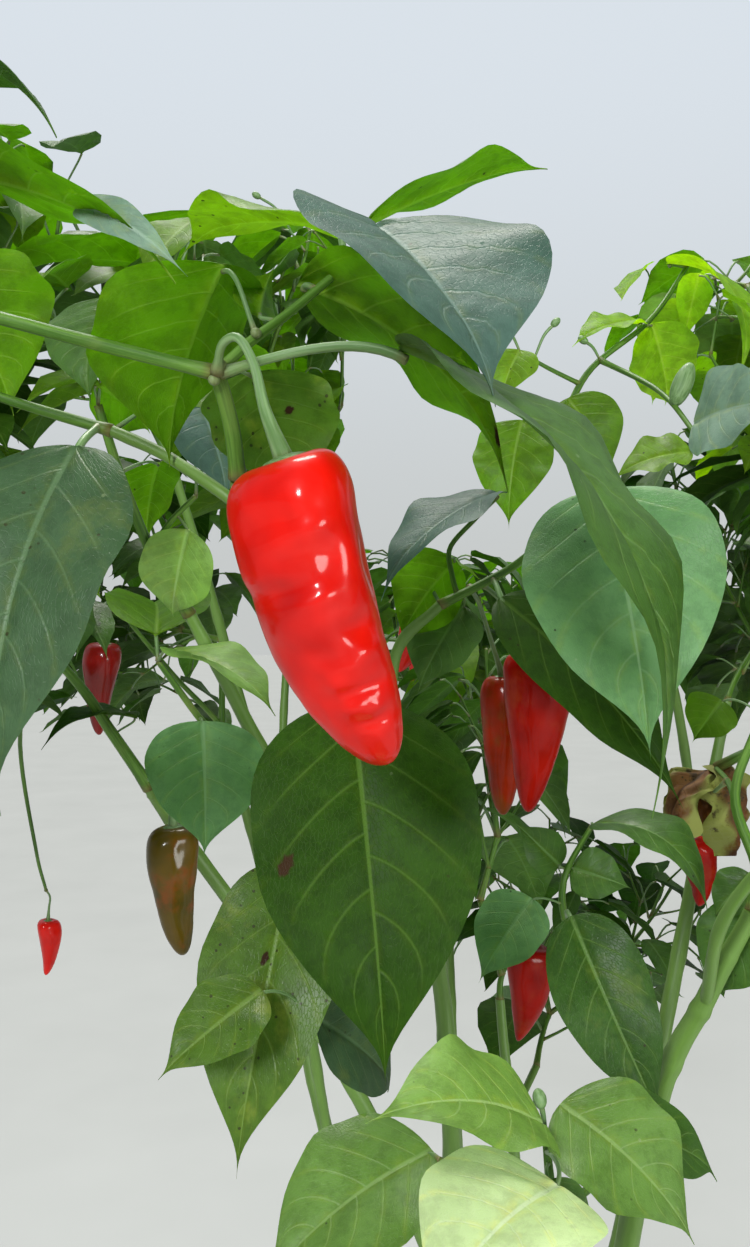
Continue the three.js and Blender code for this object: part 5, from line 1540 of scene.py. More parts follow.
# %% Finishes of the stalks and of the stem
def stalk_finish(name, dark, light, rough=0.42):
    finish, tree, place = new_finish(name)
    skin = mark_of(tree, "skin", "Vector")
    lines = noise_of(tree, skin, 0.7, 3, 0.6, (1, 1, 0.04))
    patches = noise_of(tree, place, 34, 3)
    grain = noise_of(tree, place, 900, 2)
    base = mixed(tree, soft_step(tree, lines, 0.32, 0.7), dark, light)
    base = mixed(tree, soft_step(tree, patches, 0.55, 0.8, 0.0, 0.5), base, colour(0.2, 0.25, 0.06))
    browned = soft_step(tree, noise_of(tree, place, 70, 4, 0.7), 0.64, 0.76, 0.0, 0.5)
    browned = maths(tree, "MAXIMUM", browned, times(tree, mark_of(tree, "joint"), 0.6))
    base = mixed(tree, browned, base, colour(0.2, 0.11, 0.05))
    height = plus(tree, lines, times(tree, grain, 0.25))
    inputs = {"Base Color": base, "Normal": bumped(tree, height, 0.0006, 0.5)}
    inputs |= {"Roughness": soft_step(tree, patches, 0.2, 0.8, rough, rough + 0.2)}
    surface = node(tree, "BsdfPrincipled", inputs)
    surface.inputs["Specular IOR Level"].default_value = 0.3
    surface.inputs["Subsurface Weight"].default_value = 0.15
    surface.inputs["Subsurface Radius"].default_value = (0.002, 0.003, 0.0008)
    to_output(tree, surface.outputs[0])
    return finish


def bark_finish(name):
    finish, tree, place = new_finish(name)
    height_up = node(tree, "SeparateXYZ", {0: place}).outputs[2]
    skin = mark_of(tree, "skin", "Vector")
    streaks = noise_of(tree, skin, 0.3, 4, 0.65, (1, 1, 0.1))
    flakes = noise_of(tree, skin, 0.5, 4, 0.7, (1, 1, 0.4))
    patches = noise_of(tree, place, 40, 3)
    dark, light = colour(0.07, 0.05, 0.03), colour(0.3, 0.25, 0.16)
    cork = mixed(tree, soft_step(tree, streaks, 0.34, 0.66), dark, light)
    cork = mixed(tree, soft_step(tree, patches, 0.4, 0.7, 0.0, 0.6), cork, colour(0.36, 0.33, 0.24))
    green = mixed(tree, streaks, colour(0.06, 0.13, 0.015), colour(0.15, 0.28, 0.045))
    rise = plus(tree, height_up, times(tree, streaks, 0.22))
    base = mixed(tree, soft_step(tree, rise, 0.34, 0.62), cork, green)
    height = plus(tree, streaks, times(tree, flakes, 0.5))
    depth = soft_step(tree, rise, 0.3, 0.6, 0.0016, 0.0003)
    inputs = {"Base Color": base, "Normal": bumped(tree, height, depth, 0.8)}
    inputs |= {"Roughness": soft_step(tree, rise, 0.3, 0.6, 0.85, 0.5)}
    to_output(tree, node(tree, "BsdfPrincipled", inputs).outputs[0])
    return finish


BARK = bark_finish("stem_and_boughs")
STALK = stalk_finish("green_twigs", colour(0.035, 0.1, 0.006), colour(0.1, 0.21, 0.025))
PALE_STALK = stalk_finish("leaf_and_pod_stalks", colour(0.08, 0.165, 0.045), colour(0.19, 0.3, 0.13), 0.36)
print("finishes:", BARK.name, STALK.name, PALE_STALK.name)

# %% [markdown]
# A limb could be extruded ring by ring, but it is easier made as a real curve: a line of points with
# a round bevel, whose radius is set at every point, so that it tapers and swells at its joints. It is
# added and subdivided as by hand, then its points are laid along the limb's line, and it is turned
# into a mesh.


# %% Limbs from curves
def limb_radii(one, shares, length, seed):
    rng = np.random.default_rng(seed)
    foot, tip = one["radii"]
    radii = foot + (tip - foot) * shares
    joints = np.arange(rng.uniform(30, 60), length, 62) + rng.uniform(-8, 8)
    for joint in joints:
        radii = radii * (1 + 0.13 * np.exp(-(((shares * length - joint) / 5.0) ** 2)))
    return radii


def curve_piece(name, line, radii, finish, sides=4):
    bpy.ops.object.select_all(action="DESELECT")
    bpy.ops.curve.primitive_bezier_curve_add()
    made = bpy.context.active_object
    made.name = name
    curve = made.data
    curve.dimensions = "3D"
    curve.bevel_depth = MM
    curve.bevel_resolution = sides
    curve.resolution_u = 3
    curve.use_fill_caps = True
    bpy.ops.object.mode_set(mode="EDIT")
    bpy.ops.curve.select_all(action="SELECT")
    bpy.ops.curve.subdivide(number_cuts=len(line) - 2)
    bpy.ops.object.mode_set(mode="OBJECT")
    for point, place, radius in zip(curve.splines[0].bezier_points, line, radii):
        point.co = place * MM
        point.handle_left_type = point.handle_right_type = "AUTO"
        point.radius = radius
    bpy.ops.object.convert(target="MESH")
    made = bpy.context.active_object
    made.data.name = name
    made.data.shade_smooth()
    made.data.materials.clear()
    made.data.materials.append(finish)
    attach(made, "root")
    return made


def moved_points(piece, change):
    points = np.empty(len(piece.data.vertices) * 3, np.float32)
    piece.data.vertices.foreach_get("co", points)
    points = change(points.reshape(-1, 3).astype(float) / MM)
    piece.data.vertices.foreach_set("co", (points * MM).astype(np.float32).ravel())
    piece.data.update()


def skin_places(points, line):
    """Where points lie on the skin round a line: two ways across it and the way along it."""
    along = np.concatenate([[0], np.cumsum(np.linalg.norm(np.diff(line, axis=0), axis=1))])
    nearest = np.argmin(np.linalg.norm(points[:, None] - line, axis=2), axis=1)
    ways = unit(np.gradient(line, axis=0))[nearest]
    side = unit(np.cross(ways, at(0.35, 0.93, -0.1)))
    arms = points - line[nearest]
    onward = dot(arms, ways)
    arms = arms - ways * onward[:, None]
    places = np.stack([dot(arms, side), dot(arms, np.cross(ways, side)), along[nearest] + onward], axis=1)
    return places, arms


def press_ridges(piece, line, depth, lobes, seed):
    """Presses lengthwise ridges and grain into a limb, and marks the places on its skin."""

    def change(points):
        places, arms = skin_places(points, line)
        add_mark(piece.data, "skin", places + at(0, 0, 500 * seed))
        angle = np.arctan2(places[:, 1], places[:, 0])
        ridges = np.cos(lobes * angle + seed + places[:, 2] / 160)
        spots = places * at(0.3, 0.3, 0.04) + 7 * seed
        grain = [noise.fractal(Vector(spot), 1.0, 2.0, 3) for spot in spots]
        return points + arms * (depth * (0.5 * ridges + 1.2 * np.array(grain)))[:, None]

    moved_points(piece, change)


shares = np.linspace(0, 1, 40)
stem_line = spline(STEM["points"], shares)
foot, tip = STEM["radii"]
stem_radii = foot + (tip - foot) * shares + STEM["flare"] * np.exp(-stem_line[:, 2] / STEM["flare_height"])
stem = curve_piece("stem_bark", stem_line, stem_radii, BARK, 10)


def stem_flare(points):
    middle = spline(STEM["points"], np.clip(points[:, 2] / STEM_HEIGHT, 0, 1))
    angle = np.arctan2(points[:, 1] - middle[:, 1], points[:, 0] - middle[:, 0])
    lobe = 0.5 * STEM["flare"] * np.exp(-points[:, 2] / STEM["flare_height"]) * np.cos(STEM["lobes"] * angle)
    out = np.stack([np.cos(angle), np.sin(angle), 0 * angle], axis=1)
    points = points + out * lobe[:, None]
    points[:, 2] = np.maximum(points[:, 2], 0)
    return points


press_ridges(stem, line_of(STEM["points"], 160), 0.11, 7, 1.3)
moved_points(stem, stem_flare)
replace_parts(stem, "stem")
for seed, (name, one) in enumerate(BOUGHS.items()):
    length = line_length(one["points"])
    shares = np.linspace(0, 1, max(10, int(length / 9)))
    line = spline(one["points"], shares)
    piece = curve_piece(name + "_skin", line, limb_radii(one, shares, length, seed), BARK)
    press_ridges(piece, line_of(one["points"], 200), 0.06, 5, seed)
    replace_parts(piece, name)
print("limbs:", 1 + len(BOUGHS), "points of the stem:", len(stem.data.vertices))

# %% [markdown]
# Twigs are many and alike, so they are tubes from arrays instead of curves, each a little swollen
# where it leaves its bough. A placed twig follows its own few points with many rings. A grown one
# runs straight from fork to fork, so it is given a slight bow and a swelling at both ends, or the
# crown would look as if it were made of needles. The leaf stalks are tubes too: each leaves its twig
# with a thickened foot, arches up and over, and runs on into the midrib.

# %% Twigs and leaf stalks
rng = np.random.default_rng(77)
twig_parts = []
for spray in MASSES.values():
    for one in spray["twigs"]:
        shares = np.linspace(0, 1, 24)
        radii = one["radii"][0] + (one["radii"][1] - one["radii"][0]) * shares
        radii = radii * (1 + 0.22 * np.exp(-((shares / 0.06) ** 2)))
        twig_parts.append(tubes([spline(one["points"], shares)], [radii], 10, rng.uniform(0, 1)))
grown_lines, grown_radii = [], []
for spray in growing:
    for grown in spray["grown"] + spray["finer"]:
        start, end = grown["points"]
        bend = np.cross(grown["way"], UP) * rng.uniform(-0.05, 0.05) + UP * rng.uniform(-0.04, 0.05)
        length = np.linalg.norm(end - start)
        shares = np.array([0, 0.08, 0.3, 0.55, 0.8, 0.94, 1])
        line = start + (end - start) * shares[:, None] + bend * length * (4 * shares * (1 - shares))[:, None]
        thick, thin = TWIG_RADII[grown["rank"]], TWIG_RADII[grown["rank"] + 1]
        radii = (thick + (thin - thick) * shares) * np.array([1.25, 1.1, 1, 1, 1, 1.1, 1.2])
        grown_lines.append(line)
        grown_radii.append(radii)
twig_parts.append(tubes(grown_lines, grown_radii, 6, rng.uniform(0, 1, len(grown_lines))))
twigs = new_piece("twigs", twig_parts, [STALK])
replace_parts(twigs, *SPRAYS)


def stalk_line(blade, steps):
    """From the twig, out and over, and a little way into the midrib."""
    root, way = blade["root"], blade["way"]
    end = blade["base"] + way * blade["length"] * 0.03
    far = np.linalg.norm(end - root)
    leave = root + (end - root) * 0.35 + UP * far * 0.08
    arrive = end - unit(way + unit(end - root)) * far * 0.33
    t = np.linspace(0, 1, steps)[:, None]
    low = root * (1 - t) ** 3 + 3 * leave * t * (1 - t) ** 2
    line = low + 3 * arrive * t**2 * (1 - t) + end * t**3
    return line - blade["over"] * 0.9 * t**6


def stalk_tubes(blades, steps, sides):
    lines = [stalk_line(blade, steps) for blade in blades]
    shares = np.linspace(0, 1, steps)
    shape = 0.9 + 0.45 * np.exp(-((shares / 0.12) ** 2)) + 0.12 * shares
    sizes = np.array([STALK_RADIUS * min(1.15, max(0.5, blade["length"] / LEAF_LENGTH)) for blade in blades])
    return tubes(lines, sizes[:, None] * shape, sides, rng.uniform(0, 1, len(blades)))


grown_blades = [blade for spray in growing for blade in spray["blades"]]
stalks = new_piece(
    "leaf_stalks",
    [stalk_tubes(placed_blades, 14, 10), stalk_tubes(grown_blades, 5, 5)],
    [PALE_STALK],
)
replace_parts(stalks, *SPRAYS)

# %% [markdown]
# A chilli pod is a thin glossy shell, blunt at its shoulder and narrowing to the tip. One plain pod
# is turned from a ring, as on a lathe: the ring is extruded along the axis and scaled to the next
# radius, row by row, and the result is smoothed by subdivision. The real pods are made from its points
# later. It comes at three levels of smoothness, the finest for the pod that hangs before the eye.


# %% A turned pod
def lathe(name, sides, rows):
    """Turns rows of (radius, height) into a closed skin: a filled ring, extruded row by row."""
    bpy.ops.object.select_all(action="DESELECT")
    radius, height = rows[0]
    bpy.ops.mesh.primitive_circle_add(vertices=sides, radius=radius, fill_type="NGON", location=(0, 0, 0))
    made = bpy.context.active_object
    made.name = made.data.name = name
    bpy.ops.object.mode_set(mode="EDIT")
    bpy.ops.mesh.select_all(action="SELECT")
    bpy.ops.transform.translate(value=(0, 0, height))
    for next_radius, next_height in rows[1:]:
        bpy.ops.mesh.extrude_region_move(TRANSFORM_OT_translate={"value": (0, 0, next_height - height)})
        grow = next_radius / radius
        bpy.ops.transform.resize(value=(grow, grow, 1), center_override=(0, 0, next_height))
        radius, height = next_radius, next_height
    bpy.ops.mesh.select_all(action="SELECT")
    bpy.ops.mesh.normals_make_consistent(inside=False)
    bpy.ops.object.mode_set(mode="OBJECT")
    return made


def smoothed(made, levels):
    """Subdivides a turned shape and gives its points and its faces as arrays."""
    smoothing = made.modifiers.new("smoothing", "SUBSURF")
    smoothing.levels = smoothing.render_levels = levels
    bpy.ops.object.modifier_apply(modifier="smoothing")
    points = np.empty(len(made.data.vertices) * 3, np.float32)
    made.data.vertices.foreach_get("co", points)
    by_corners = {}
    for face in made.data.polygons:
        by_corners.setdefault(len(face.vertices), []).append(list(face.vertices))
    bpy.data.objects.remove(made)
    faces = [(np.array(rows), 0) for rows in by_corners.values()]
    return points.reshape(-1, 3).astype(float), faces


POD_PROFILE = (
    (0.12, 0.03), (0.3, 0.004), (0.58, 0.0), (0.84, 0.025), (0.97, 0.085), (1.0, 0.17), (0.99, 0.28),
    (0.965, 0.38), (0.925, 0.48), (0.87, 0.58), (0.79, 0.68), (0.69, 0.78), (0.55, 0.87), (0.4, 0.94),
    (0.22, 0.985), (0.07, 1.0),
)
PLAIN_PODS = [smoothed(lathe("plain_pod", 24, POD_PROFILE), levels) for levels in (1, 2, 3)]
print("points of the plain pods:", [len(points) for points, _ in PLAIN_PODS])

# %% [markdown]
# No two pods are alike. Some are bowed or hooked, some stay wide almost to the tip and some narrow
# early, and the wall sinks between three soft lobes. A few are set a little closer to where the
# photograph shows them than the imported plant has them. The thin flesh has dents, and these hollows
# break the shine into spots. The great pod has those that show best, and the rest are dealt out.


# %% Pods drawn out along their own curve
POD_BENDS = {
    "pod_great": (0.05, 0.0),
    "pod_pair_right": (0.0, 0.0),
    "pod_pair_left": (0.02, 0.04),
    "pod_low_right": (-0.05, 0.12),
    "pod_behind": (-0.04, 0.1),
}
USUAL_TAPER = (1.14, 0.42)
POD_TAPERS = {
    "pod_great": (1.0, 0.0),
    "pod_pair_right": (1.18, 0.5),
    "pod_pair_left": (0.98, 0.1),
    "pod_deep_right": (1.36, 0.8),
    "pod_turning": (0.94, 0.14),
}
POD_PLACES = {
    "pod_pair_right": ((539, 653, 500), (528, 812, 500)),
    "pod_pair_left": ((503, 676, 532), (503, 815, 534)),
    "pod_turning": ((173, 826, 496), (183, 955, 498)),
    "pod_low_right": ((687, 838, 560), (700, 906, 560)),
    "pod_deep_right": ((528, 945, 680), (518, 1041, 680)),
}
GREAT_DENTS = (
    (0.13, 0.25, -0.6, 0.05, 0.3), (0.16, 0.9, 1.0, 0.05, 0.5), (0.21, 0.15, -0.9, 0.035, 0.4),
    (0.28, 0.6, 1.0, 0.05, 0.45), (0.3, -0.1, 0.9, 0.05, 0.25), (0.36, 0.95, 1.7, 0.035, 0.8),
    (0.4, 0.1, -0.9, 0.035, 0.25), (0.41, 0.5, -0.8, 0.03, 0.25), (0.47, 0.85, -0.7, 0.05, 0.5),
    (0.36, -0.95, 1.0, 0.09, 0.25), (0.52, -0.3, 1.2, 0.04, 0.45), (0.57, 0.5, 1.1, 0.04, 0.35),
    (0.6, -0.35, -0.8, 0.025, 0.25), (0.63, 0.1, -0.9, 0.025, 0.3), (0.67, 0.45, -0.8, 0.025, 0.3),
    (0.71, -0.1, 1.2, 0.022, 0.5), (0.76, 0.35, -0.8, 0.022, 0.3), (0.78, -0.15, -0.7, 0.02, 0.25),
    (0.82, 0.15, 0.9, 0.02, 0.5), (0.87, -0.25, -0.5, 0.03, 0.4), (0.55, -0.9, 0.8, 0.07, 0.3),
)


def dealt_dents(rng):
    spots = zip(rng.uniform(0.1, 0.85, 9), rng.uniform(-3.1, 3.1, 9), rng.uniform(0.3, 0.9, 9))
    return [(*spot, rng.uniform(0.05, 0.12), rng.uniform(0.3, 0.5)) for spot in spots]


def drawn_out(plain, one, seed):
    """Where the points of the plain pod lie on one real pod."""
    rng = np.random.default_rng(seed)
    top, tip = one["top"], one["tip"]
    length = np.linalg.norm(tip - top)
    way = unit(tip - top)
    side = square_to(at(0.2, -1, 0.3), way)
    across = np.cross(way, side)
    share, angle = plain[:, 2], np.arctan2(plain[:, 1], plain[:, 0])
    inside = np.clip(share, 0, 1)
    plain_radius = np.hypot(plain[:, 0], plain[:, 1])
    radius = plain_radius * one["width"] / 2
    stout, taper = POD_TAPERS.get(one.get("name"), USUAL_TAPER)
    if taper:
        radius = radius * (stout - taper * inside) * (1 + rng.uniform(-0.06, 0.06) * np.sin(7 * inside))
    lobes = 0.045 * np.cos(3 * angle + rng.uniform(0, 6) + 1.2 * share) * (1 - 0.5 * inside)
    spots = np.stack([np.cos(angle), np.sin(angle), share * 3.2], axis=1) * 1.1 + rng.uniform(0, 50)
    uneven = np.array([noise.fractal(Vector(spot), 1.0, 2.0, 2) for spot in spots])
    wrinkles = np.sin(58 * share + 3 * np.sin(2 * angle) + 5 * uneven) * np.clip(share - 0.45, 0, 0.4)
    radius = radius * (1 + lobes + 0.05 * uneven + 0.02 * wrinkles)
    dents = GREAT_DENTS + tuple(dealt_dents(rng)) if one.get("name") == "pod_great" else dealt_dents(rng)
    for where, turn, depth, tall, wide in dents:
        round_it = np.arctan2(np.sin(angle - turn), np.cos(angle - turn))
        near = np.exp(-(((share - where) / tall) ** 2) - (round_it / wide) ** 2)
        radius = radius - 1.1 * depth * one["width"] / 31 * near * np.clip(plain_radius * 1.5, 0, 1)
    middle = top + way * (share * length)[:, None]
    middle = middle + side * (one["curve"] * length * np.sin(math.pi * inside))[:, None]
    bow, hook = POD_BENDS.get(one.get("name"), (rng.uniform(-0.04, 0.04), rng.uniform(-0.05, 0.05)))
    aside = bow * np.sin(math.pi * inside) + hook * (inside**3 - inside)
    middle = middle + across * (aside * length)[:, None]
    return middle + (side * np.cos(angle)[:, None] + across * np.sin(angle)[:, None]) * radius[:, None]


print("dents on the great pod:", len(GREAT_DENTS))

# %% [markdown]
# The skin of a pod is red all through and very glossy, like lacquer. Making the red itself glossy
# would tint its shine, so a clear coat lies over it, and the shine stays white. Unripe pods start
# dark green and turn through brown, so each kind of skin is a mix of two colours with patches of a
# third: how dark it is, how light, the patches and their share, and how thick the coat is.

# %% Pod finishes
POD_SKINS = {
    "ripe": ((0.42, 0.002, 0.0005), (0.66, 0.005, 0.001), (0.56, 0.01, 0.002), 0.3, 0.42),
    "ripening": ((0.13, 0.01, 0.001), (0.3, 0.016, 0.001), (0.12, 0.045, 0.003), 0.6, 0.22),
    "turning": ((0.043, 0.036, 0.001), (0.105, 0.06, 0.002), (0.2, 0.04, 0.001), 0.7, 0.4),
    # Painted shade: a darker copy of the ripe red, for ripe pods that hang in shade.
    "deep_red": ((0.18, 0.002, 0.0005), (0.33, 0.005, 0.001), (0.29, 0.04, 0.006), 0.35, 0.22),
    "dark_red": ((0.13, 0.002, 0.001), (0.26, 0.004, 0.002), (0.2, 0.012, 0.006), 0.5, 0.5),
}
COAT_ROUGHNESS, SHINE_OF_COAT = 0.13, 0.2


def pod_finish(name, dark, light, patch, amount, coat):
    finish, tree, place = new_finish(name)
    broad, fine = noise_of(tree, place, 34, 3), noise_of(tree, place, 500, 2)
    base = mixed(tree, soft_step(tree, broad, 0.3, 0.7), colour(*dark), colour(*light))
    marks = soft_step(tree, noise_of(tree, place, 60, 4, 0.6), 0.5, 0.7, 0.0, amount)
    height = plus(tree, times(tree, fine, 0.06), noise_of(tree, place, 110, 3))
    inputs = {"Base Color": mixed(tree, marks, base, colour(*patch))}
    inputs |= {"Normal": bumped(tree, height, 0.0009, 0.35)}
    inputs |= {"Roughness": soft_step(tree, broad, 0.2, 0.8, 0.4, 0.5)}
    surface = node(tree, "BsdfPrincipled", inputs)
    surface.inputs["Specular IOR Level"].default_value = SHINE_OF_COAT * coat
    surface.inputs["Coat Weight"].default_value = coat
    surface.inputs["Coat Roughness"].default_value = COAT_ROUGHNESS
    to_output(tree, surface.outputs[0])
    return finish


POD_FINISHES = {kind: pod_finish("pod_" + kind + "_skin", *looks) for kind, looks in POD_SKINS.items()}
print("pod finishes:", *POD_FINISHES)

# %% [markdown]
# Every placed pod is a piece by itself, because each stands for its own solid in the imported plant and
# can be picked from the part. The pods that the growth hung in the crown go into one mesh. Those that
# would hang where the photograph shows open space between the boughs are left out.

# %% The pods
POD_KINDS = {
    # The ripe pods that hang in shade get the darker red of painted shade.
    "pod_pair_right": ("deep_red", "ripe"),
    "pod_low_right": ("deep_red", "ripe"),
    "pod_deep_right": ("deep_red", "ripe"),
    "pod_pair_left": ("ripening", "ripening"),
    "pod_dark_left": ("dark_red", "ripening"),
    "pod_turning": ("turning", "turning"),
}
placed_pods = [one for spray in MASSES.values() for one in spray["pods"]]
for one in placed_pods:
    if one["name"] in POD_PLACES:
        one["top"], one["tip"] = (seen(*sighting) for sighting in POD_PLACES[one["name"]])
for seed, one in enumerate(placed_pods):
    plain, faces = PLAIN_PODS[2 if one["name"] == "pod_great" else 1]
    kind, slot = POD_KINDS.get(one["name"], ("ripe", "ripe"))
    points = drawn_out(plain, one, seed + 3)
    part = {"points": points, "faces": faces_outward(points, faces), "marks": {}}
    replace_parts(new_piece(one["name"] + "_skin", [part], [POD_FINISHES[kind]]), one["name"])
OPEN_PLACES, OPEN_REACH = ((92, 425), (517, 800), (565, 1050)), 60
grown_pods = []
for one in (one for spray in growing for one in spray["fruits"]):
    across, down, _ = sight_of((one["top"] + one["tip"]) / 2)
    if all(math.hypot(across - right, down - low) > OPEN_REACH for right, low in OPEN_PLACES):
        grown_pods.append(one)
print("grown pods:", len(grown_pods))
pod_parts = []
for seed, one in enumerate(grown_pods):
    plain, faces = PLAIN_PODS[0]
    points = drawn_out(plain, one, seed + 60)
    pod_parts.append({"points": points, "faces": faces_outward(points, faces), "marks": {}})
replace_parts(new_piece("grown_pods", pod_parts, [POD_FINISHES["ripe"]]), *SPRAYS)

# %% [markdown]
# Each pod hangs on a ribbed stalk that widens into a small green cap with five blunt teeth. The cap
# is turned once like the plain pod, its rim is drawn out into teeth, and every pod gets a copy at its
# own size. Drawing the teeth by an angle keeps them even without picking points by hand.

# %% Stalks and caps of the pods
CAP_PROFILE = (
    (0.2, 0.5), (0.24, 0.36), (0.34, 0.26), (0.6, 0.2), (0.86, 0.12), (1.0, 0.0), (0.93, -0.03), (0.8, 0.04),
    (0.5, 0.1), (0.2, 0.12),
)
plain_cap, cap_faces = smoothed(lathe("plain_cap", 20, CAP_PROFILE), 1)
rim = np.clip(np.hypot(plain_cap[:, 0], plain_cap[:, 1]) - 0.55, 0, 0.5) * 2
teeth = np.cos(5 * np.arctan2(plain_cap[:, 1], plain_cap[:, 0]))
plain_cap[:, :2] *= (1 + 0.12 * rim * teeth)[:, None]
plain_cap[:, 2] -= 0.07 * rim * teeth


def set_at(plain, faces, place, way, wide, tall, tint=0.5):
    """A copy of a turned shape at a place, with its axis along a way."""
    side = square_to(at(0.2, -1, 0.3), way)
    across = np.cross(way, side)
    points = place + (plain[:, :1] * side + plain[:, 1:2] * across) * wide + plain[:, 2:] * way * tall
    places = plain * at(wide, wide, tall)
    marks = {"tint": np.full(len(plain), tint), "joint": np.zeros(len(plain)), "skin": places}
    return {"points": points, "faces": faces_outward(points, faces), "marks": marks}


def pod_stalk(one):
    down = unit(one["tip"] - one["top"])
    shares = np.linspace(0, 1, 24)
    line = spline(np.vstack([one["path"], one["top"] + down * one["width"] * 0.03]), shares)
    radii = 1.05 + 1.5 * shares**6 + 0.9 * np.exp(-((shares / 0.05) ** 2))
    return tubes([line], [radii * min(1, one["width"] / 26 + 0.1)], 14, 0.5)


stalk_parts = []
for one in placed_pods + grown_pods:
    up = unit(one["top"] - one["tip"])
    stalk_parts.append(pod_stalk(one))
    wide = one["width"] * 0.2
    stalk_parts.append(set_at(plain_cap, cap_faces, one["top"] - up * wide * 0.1, up, wide, wide * 0.8))
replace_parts(new_piece("pod_stalks_and_caps", stalk_parts, [PALE_STALK]), *SPRAYS)

# %% [markdown]
# Flower buds stand on short stalks of their own at the ends of the twigs, and one of them has grown
# into a small unripe pod. Where a leaf has fallen, a flat scar is left on the bough. Both are turned
# and copied like the caps. A bud's stalk starts at whichever point of the twigs is seen nearest to
# it, so that none floats in the air.

# %% Flower buds and leaf scars
BUD_PROFILE = ((0.2, -1.0), (0.62, -0.86), (0.95, -0.35), (1.0, 0.1), (0.84, 0.6), (0.45, 0.95), (0.12, 1.05))
BUDS = (
    (259, 197, 2.4, 3.2), (505, 328, 2.4, 3.2), (553, 325, 2.4, 3.2), (586, 342, 2.4, 3.2),
    (245, 795, 2.8, 3.8), (541, 1105, 2.4, 3.2), (688, 296, 2.4, 3.2), (677, 398, 5.6, 11.5),
)
SCARS = ((214, 380, 257, 1.6), (221, 364, 256, 1.4), (256, 333, 261, 1.5), (345, 266, 272, 1.2))
SCAR_WAY = unit(at(0.3, -0.6, 0.7))
plain_bud, bud_faces = smoothed(lathe("plain_bud", 12, BUD_PROFILE), 1)
twig_places = [line_of(one["points"], 12) for spray in MASSES.values() for one in spray["twigs"]]
twig_places += [line_of(grown["points"], 4) for spray in growing for grown in spray["grown"] + spray["finer"]]
twig_places = np.vstack(twig_places)
across, down, off = sight_of(twig_places)
bud_parts = []
for right, low, wide, tall in BUDS:
    nearest = np.argmin(np.hypot(across - right, down - low) + np.where(off < 240, 900, 0))
    foot = twig_places[nearest]
    head = seen(right, low, off[nearest])
    lift = np.linalg.norm(head - foot)
    line = spline([foot, (foot + head) / 2 + UP * lift * 0.15, head], np.linspace(0, 1, 9))
    bud_parts.append(tubes([line], [np.linspace(0.7, 1.0, 9)], 8, 0.6))
    way = unit(head - line[-3])
    bud_parts.append(set_at(plain_bud, bud_faces, head + way * tall * 0.62, way, wide, tall, 0.7))
for right, low, far, size in SCARS:
    scar = set_at(plain_bud, bud_faces, seen(right, low, far), SCAR_WAY, size, size * 0.8, 0.2)
    scar["marks"]["joint"] = np.full(len(plain_bud), 0.45)
    bud_parts.append(scar)
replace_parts(new_piece("flower_buds", bud_parts, [PALE_STALK]), *SPRAYS)

# %% [markdown]
# Something has to catch the plant's shadow, or it would seem to float. A coloured or textured ground
# would throw its tint up on the leaves, so it is a wide, plain grey plane, a hair under the foot of the
# stem.

# %% Floor
FLOOR_SIZE, FLOOR_HEIGHT, FLOOR_MOTTLE = 60, -0.0005, 3
bpy.ops.mesh.primitive_plane_add(size=FLOOR_SIZE, location=(0, 0, FLOOR_HEIGHT))
floor = bpy.context.active_object
floor.name = "floor"
floor_finish, tree, place = new_finish("floor")
mottle = noise_of(tree, place, FLOOR_MOTTLE, 3)
floor_colour = mixed(tree, mottle, colour(0.36, 0.37, 0.36), colour(0.42, 0.43, 0.42))
to_output(tree, node(tree, "BsdfPrincipled", {"Base Color": floor_colour, "Roughness": 0.9}).outputs[0])
floor.data.materials.append(floor_finish)
print("floor:", FLOOR_SIZE, "m square")

# %% [markdown]
# The light in the photograph is bright but soft. It comes from high up and a little from behind the
# plant, so that leaves glow, and the shade is filled from the sky. A wide sun gives the direction, and
# a pale sky, darker on the eye's side, gives the rest. Two lamps in front are there for the pods, which
# show small bright spots that a sky alone would smear out.

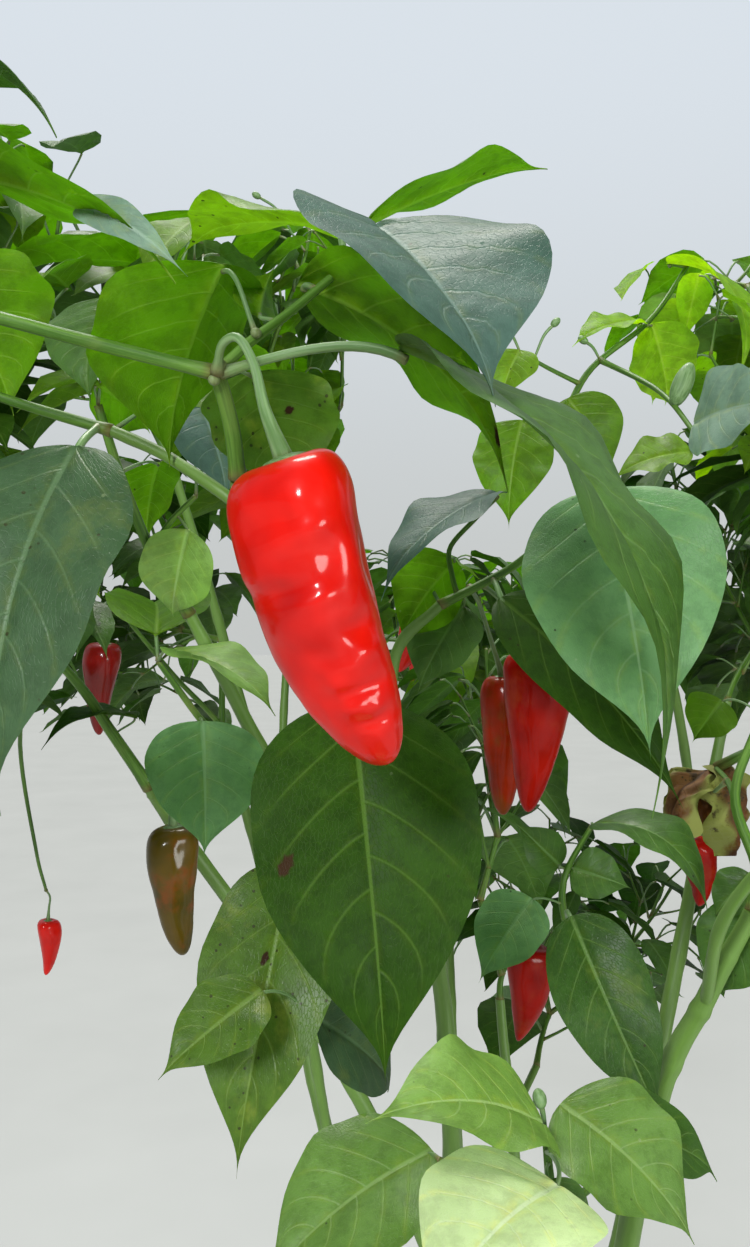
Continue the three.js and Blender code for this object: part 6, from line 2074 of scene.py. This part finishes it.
# %% Light
scene = bpy.context.scene
scene.view_settings.view_transform = "Standard"
SKY_LOW, SKY_HIGH, SKY_DARK = colour(0.56, 0.58, 0.57), colour(0.7, 0.76, 0.82), colour(0.14, 0.16, 0.17)
world = bpy.data.worlds.new("studio")
world.use_nodes = True
tree = world.node_tree
tree.nodes.clear()
way = node(tree, "SeparateXYZ", {0: node(tree, "TexCoord").outputs["Generated"]}).outputs
sky = mixed(tree, soft_step(tree, way[2], -0.05, 0.5), SKY_LOW, SKY_HIGH)
sky = mixed(tree, soft_step(tree, way[1], -0.7, 0.5), SKY_DARK, sky)
background = node(tree, "Background", {"Color": sky, "Strength": 1.0})
node(tree, "OutputWorld", {"Surface": background.outputs[0]})
scene.world = world


def lamp_towards(name, kind, way, energy, tint):
    lamp = bpy.data.lights.new(name, kind)
    lamp.energy = energy
    lamp.color = tint
    made = bpy.data.objects.new(name, lamp)
    scene.collection.objects.link(made)
    made.rotation_euler = Vector(way).to_track_quat("-Z", "Y").to_euler()
    return made


def area_light(name, place, aim, size, watts, tint):
    made = lamp_towards(name, "AREA", Vector(aim) - Vector(place), watts, tint)
    made.data.shape = "DISK"
    made.data.size = size
    made.location = place


sun = lamp_towards("high_light", "SUN", (0.1, -0.45, -1), 3.3, (1.0, 0.97, 0.9))
sun.data.angle = math.radians(24)
area_light("front_light", (-0.8, -2.5, 1.9), (0, 0, 0.9), 0.5, 62, (0.97, 0.99, 1.0))
area_light("low_fill", (1.5, -2.0, 0.9), (0, 0, 0.8), 0.9, 34, (0.97, 1.0, 0.96))
print("lamps:", len(bpy.data.lights))

# %% [markdown]
# The camera stands where the eye of all the sightings is and looks level, along the y axis. Its lens
# follows from the picture's height and the focus that the sightings were worked out with, so what is
# given as seen at a place in the picture is also rendered there.

# %% Camera
FILM_HEIGHT, NEAREST_SEEN = 36, 0.02
lens = bpy.data.cameras.new("camera")
lens.sensor_fit = "VERTICAL"
lens.sensor_height = lens.sensor_width = FILM_HEIGHT
lens.lens = FILM_HEIGHT * FOCUS / PICTURE_HEIGHT
lens.clip_start = NEAREST_SEEN
camera = bpy.data.objects.new("camera", lens)
scene.collection.objects.link(camera)
camera.location = EYE * MM
camera.rotation_euler = (math.radians(90), 0, 0)
scene.camera = camera
print("lens", round(lens.lens, 2), "mm")
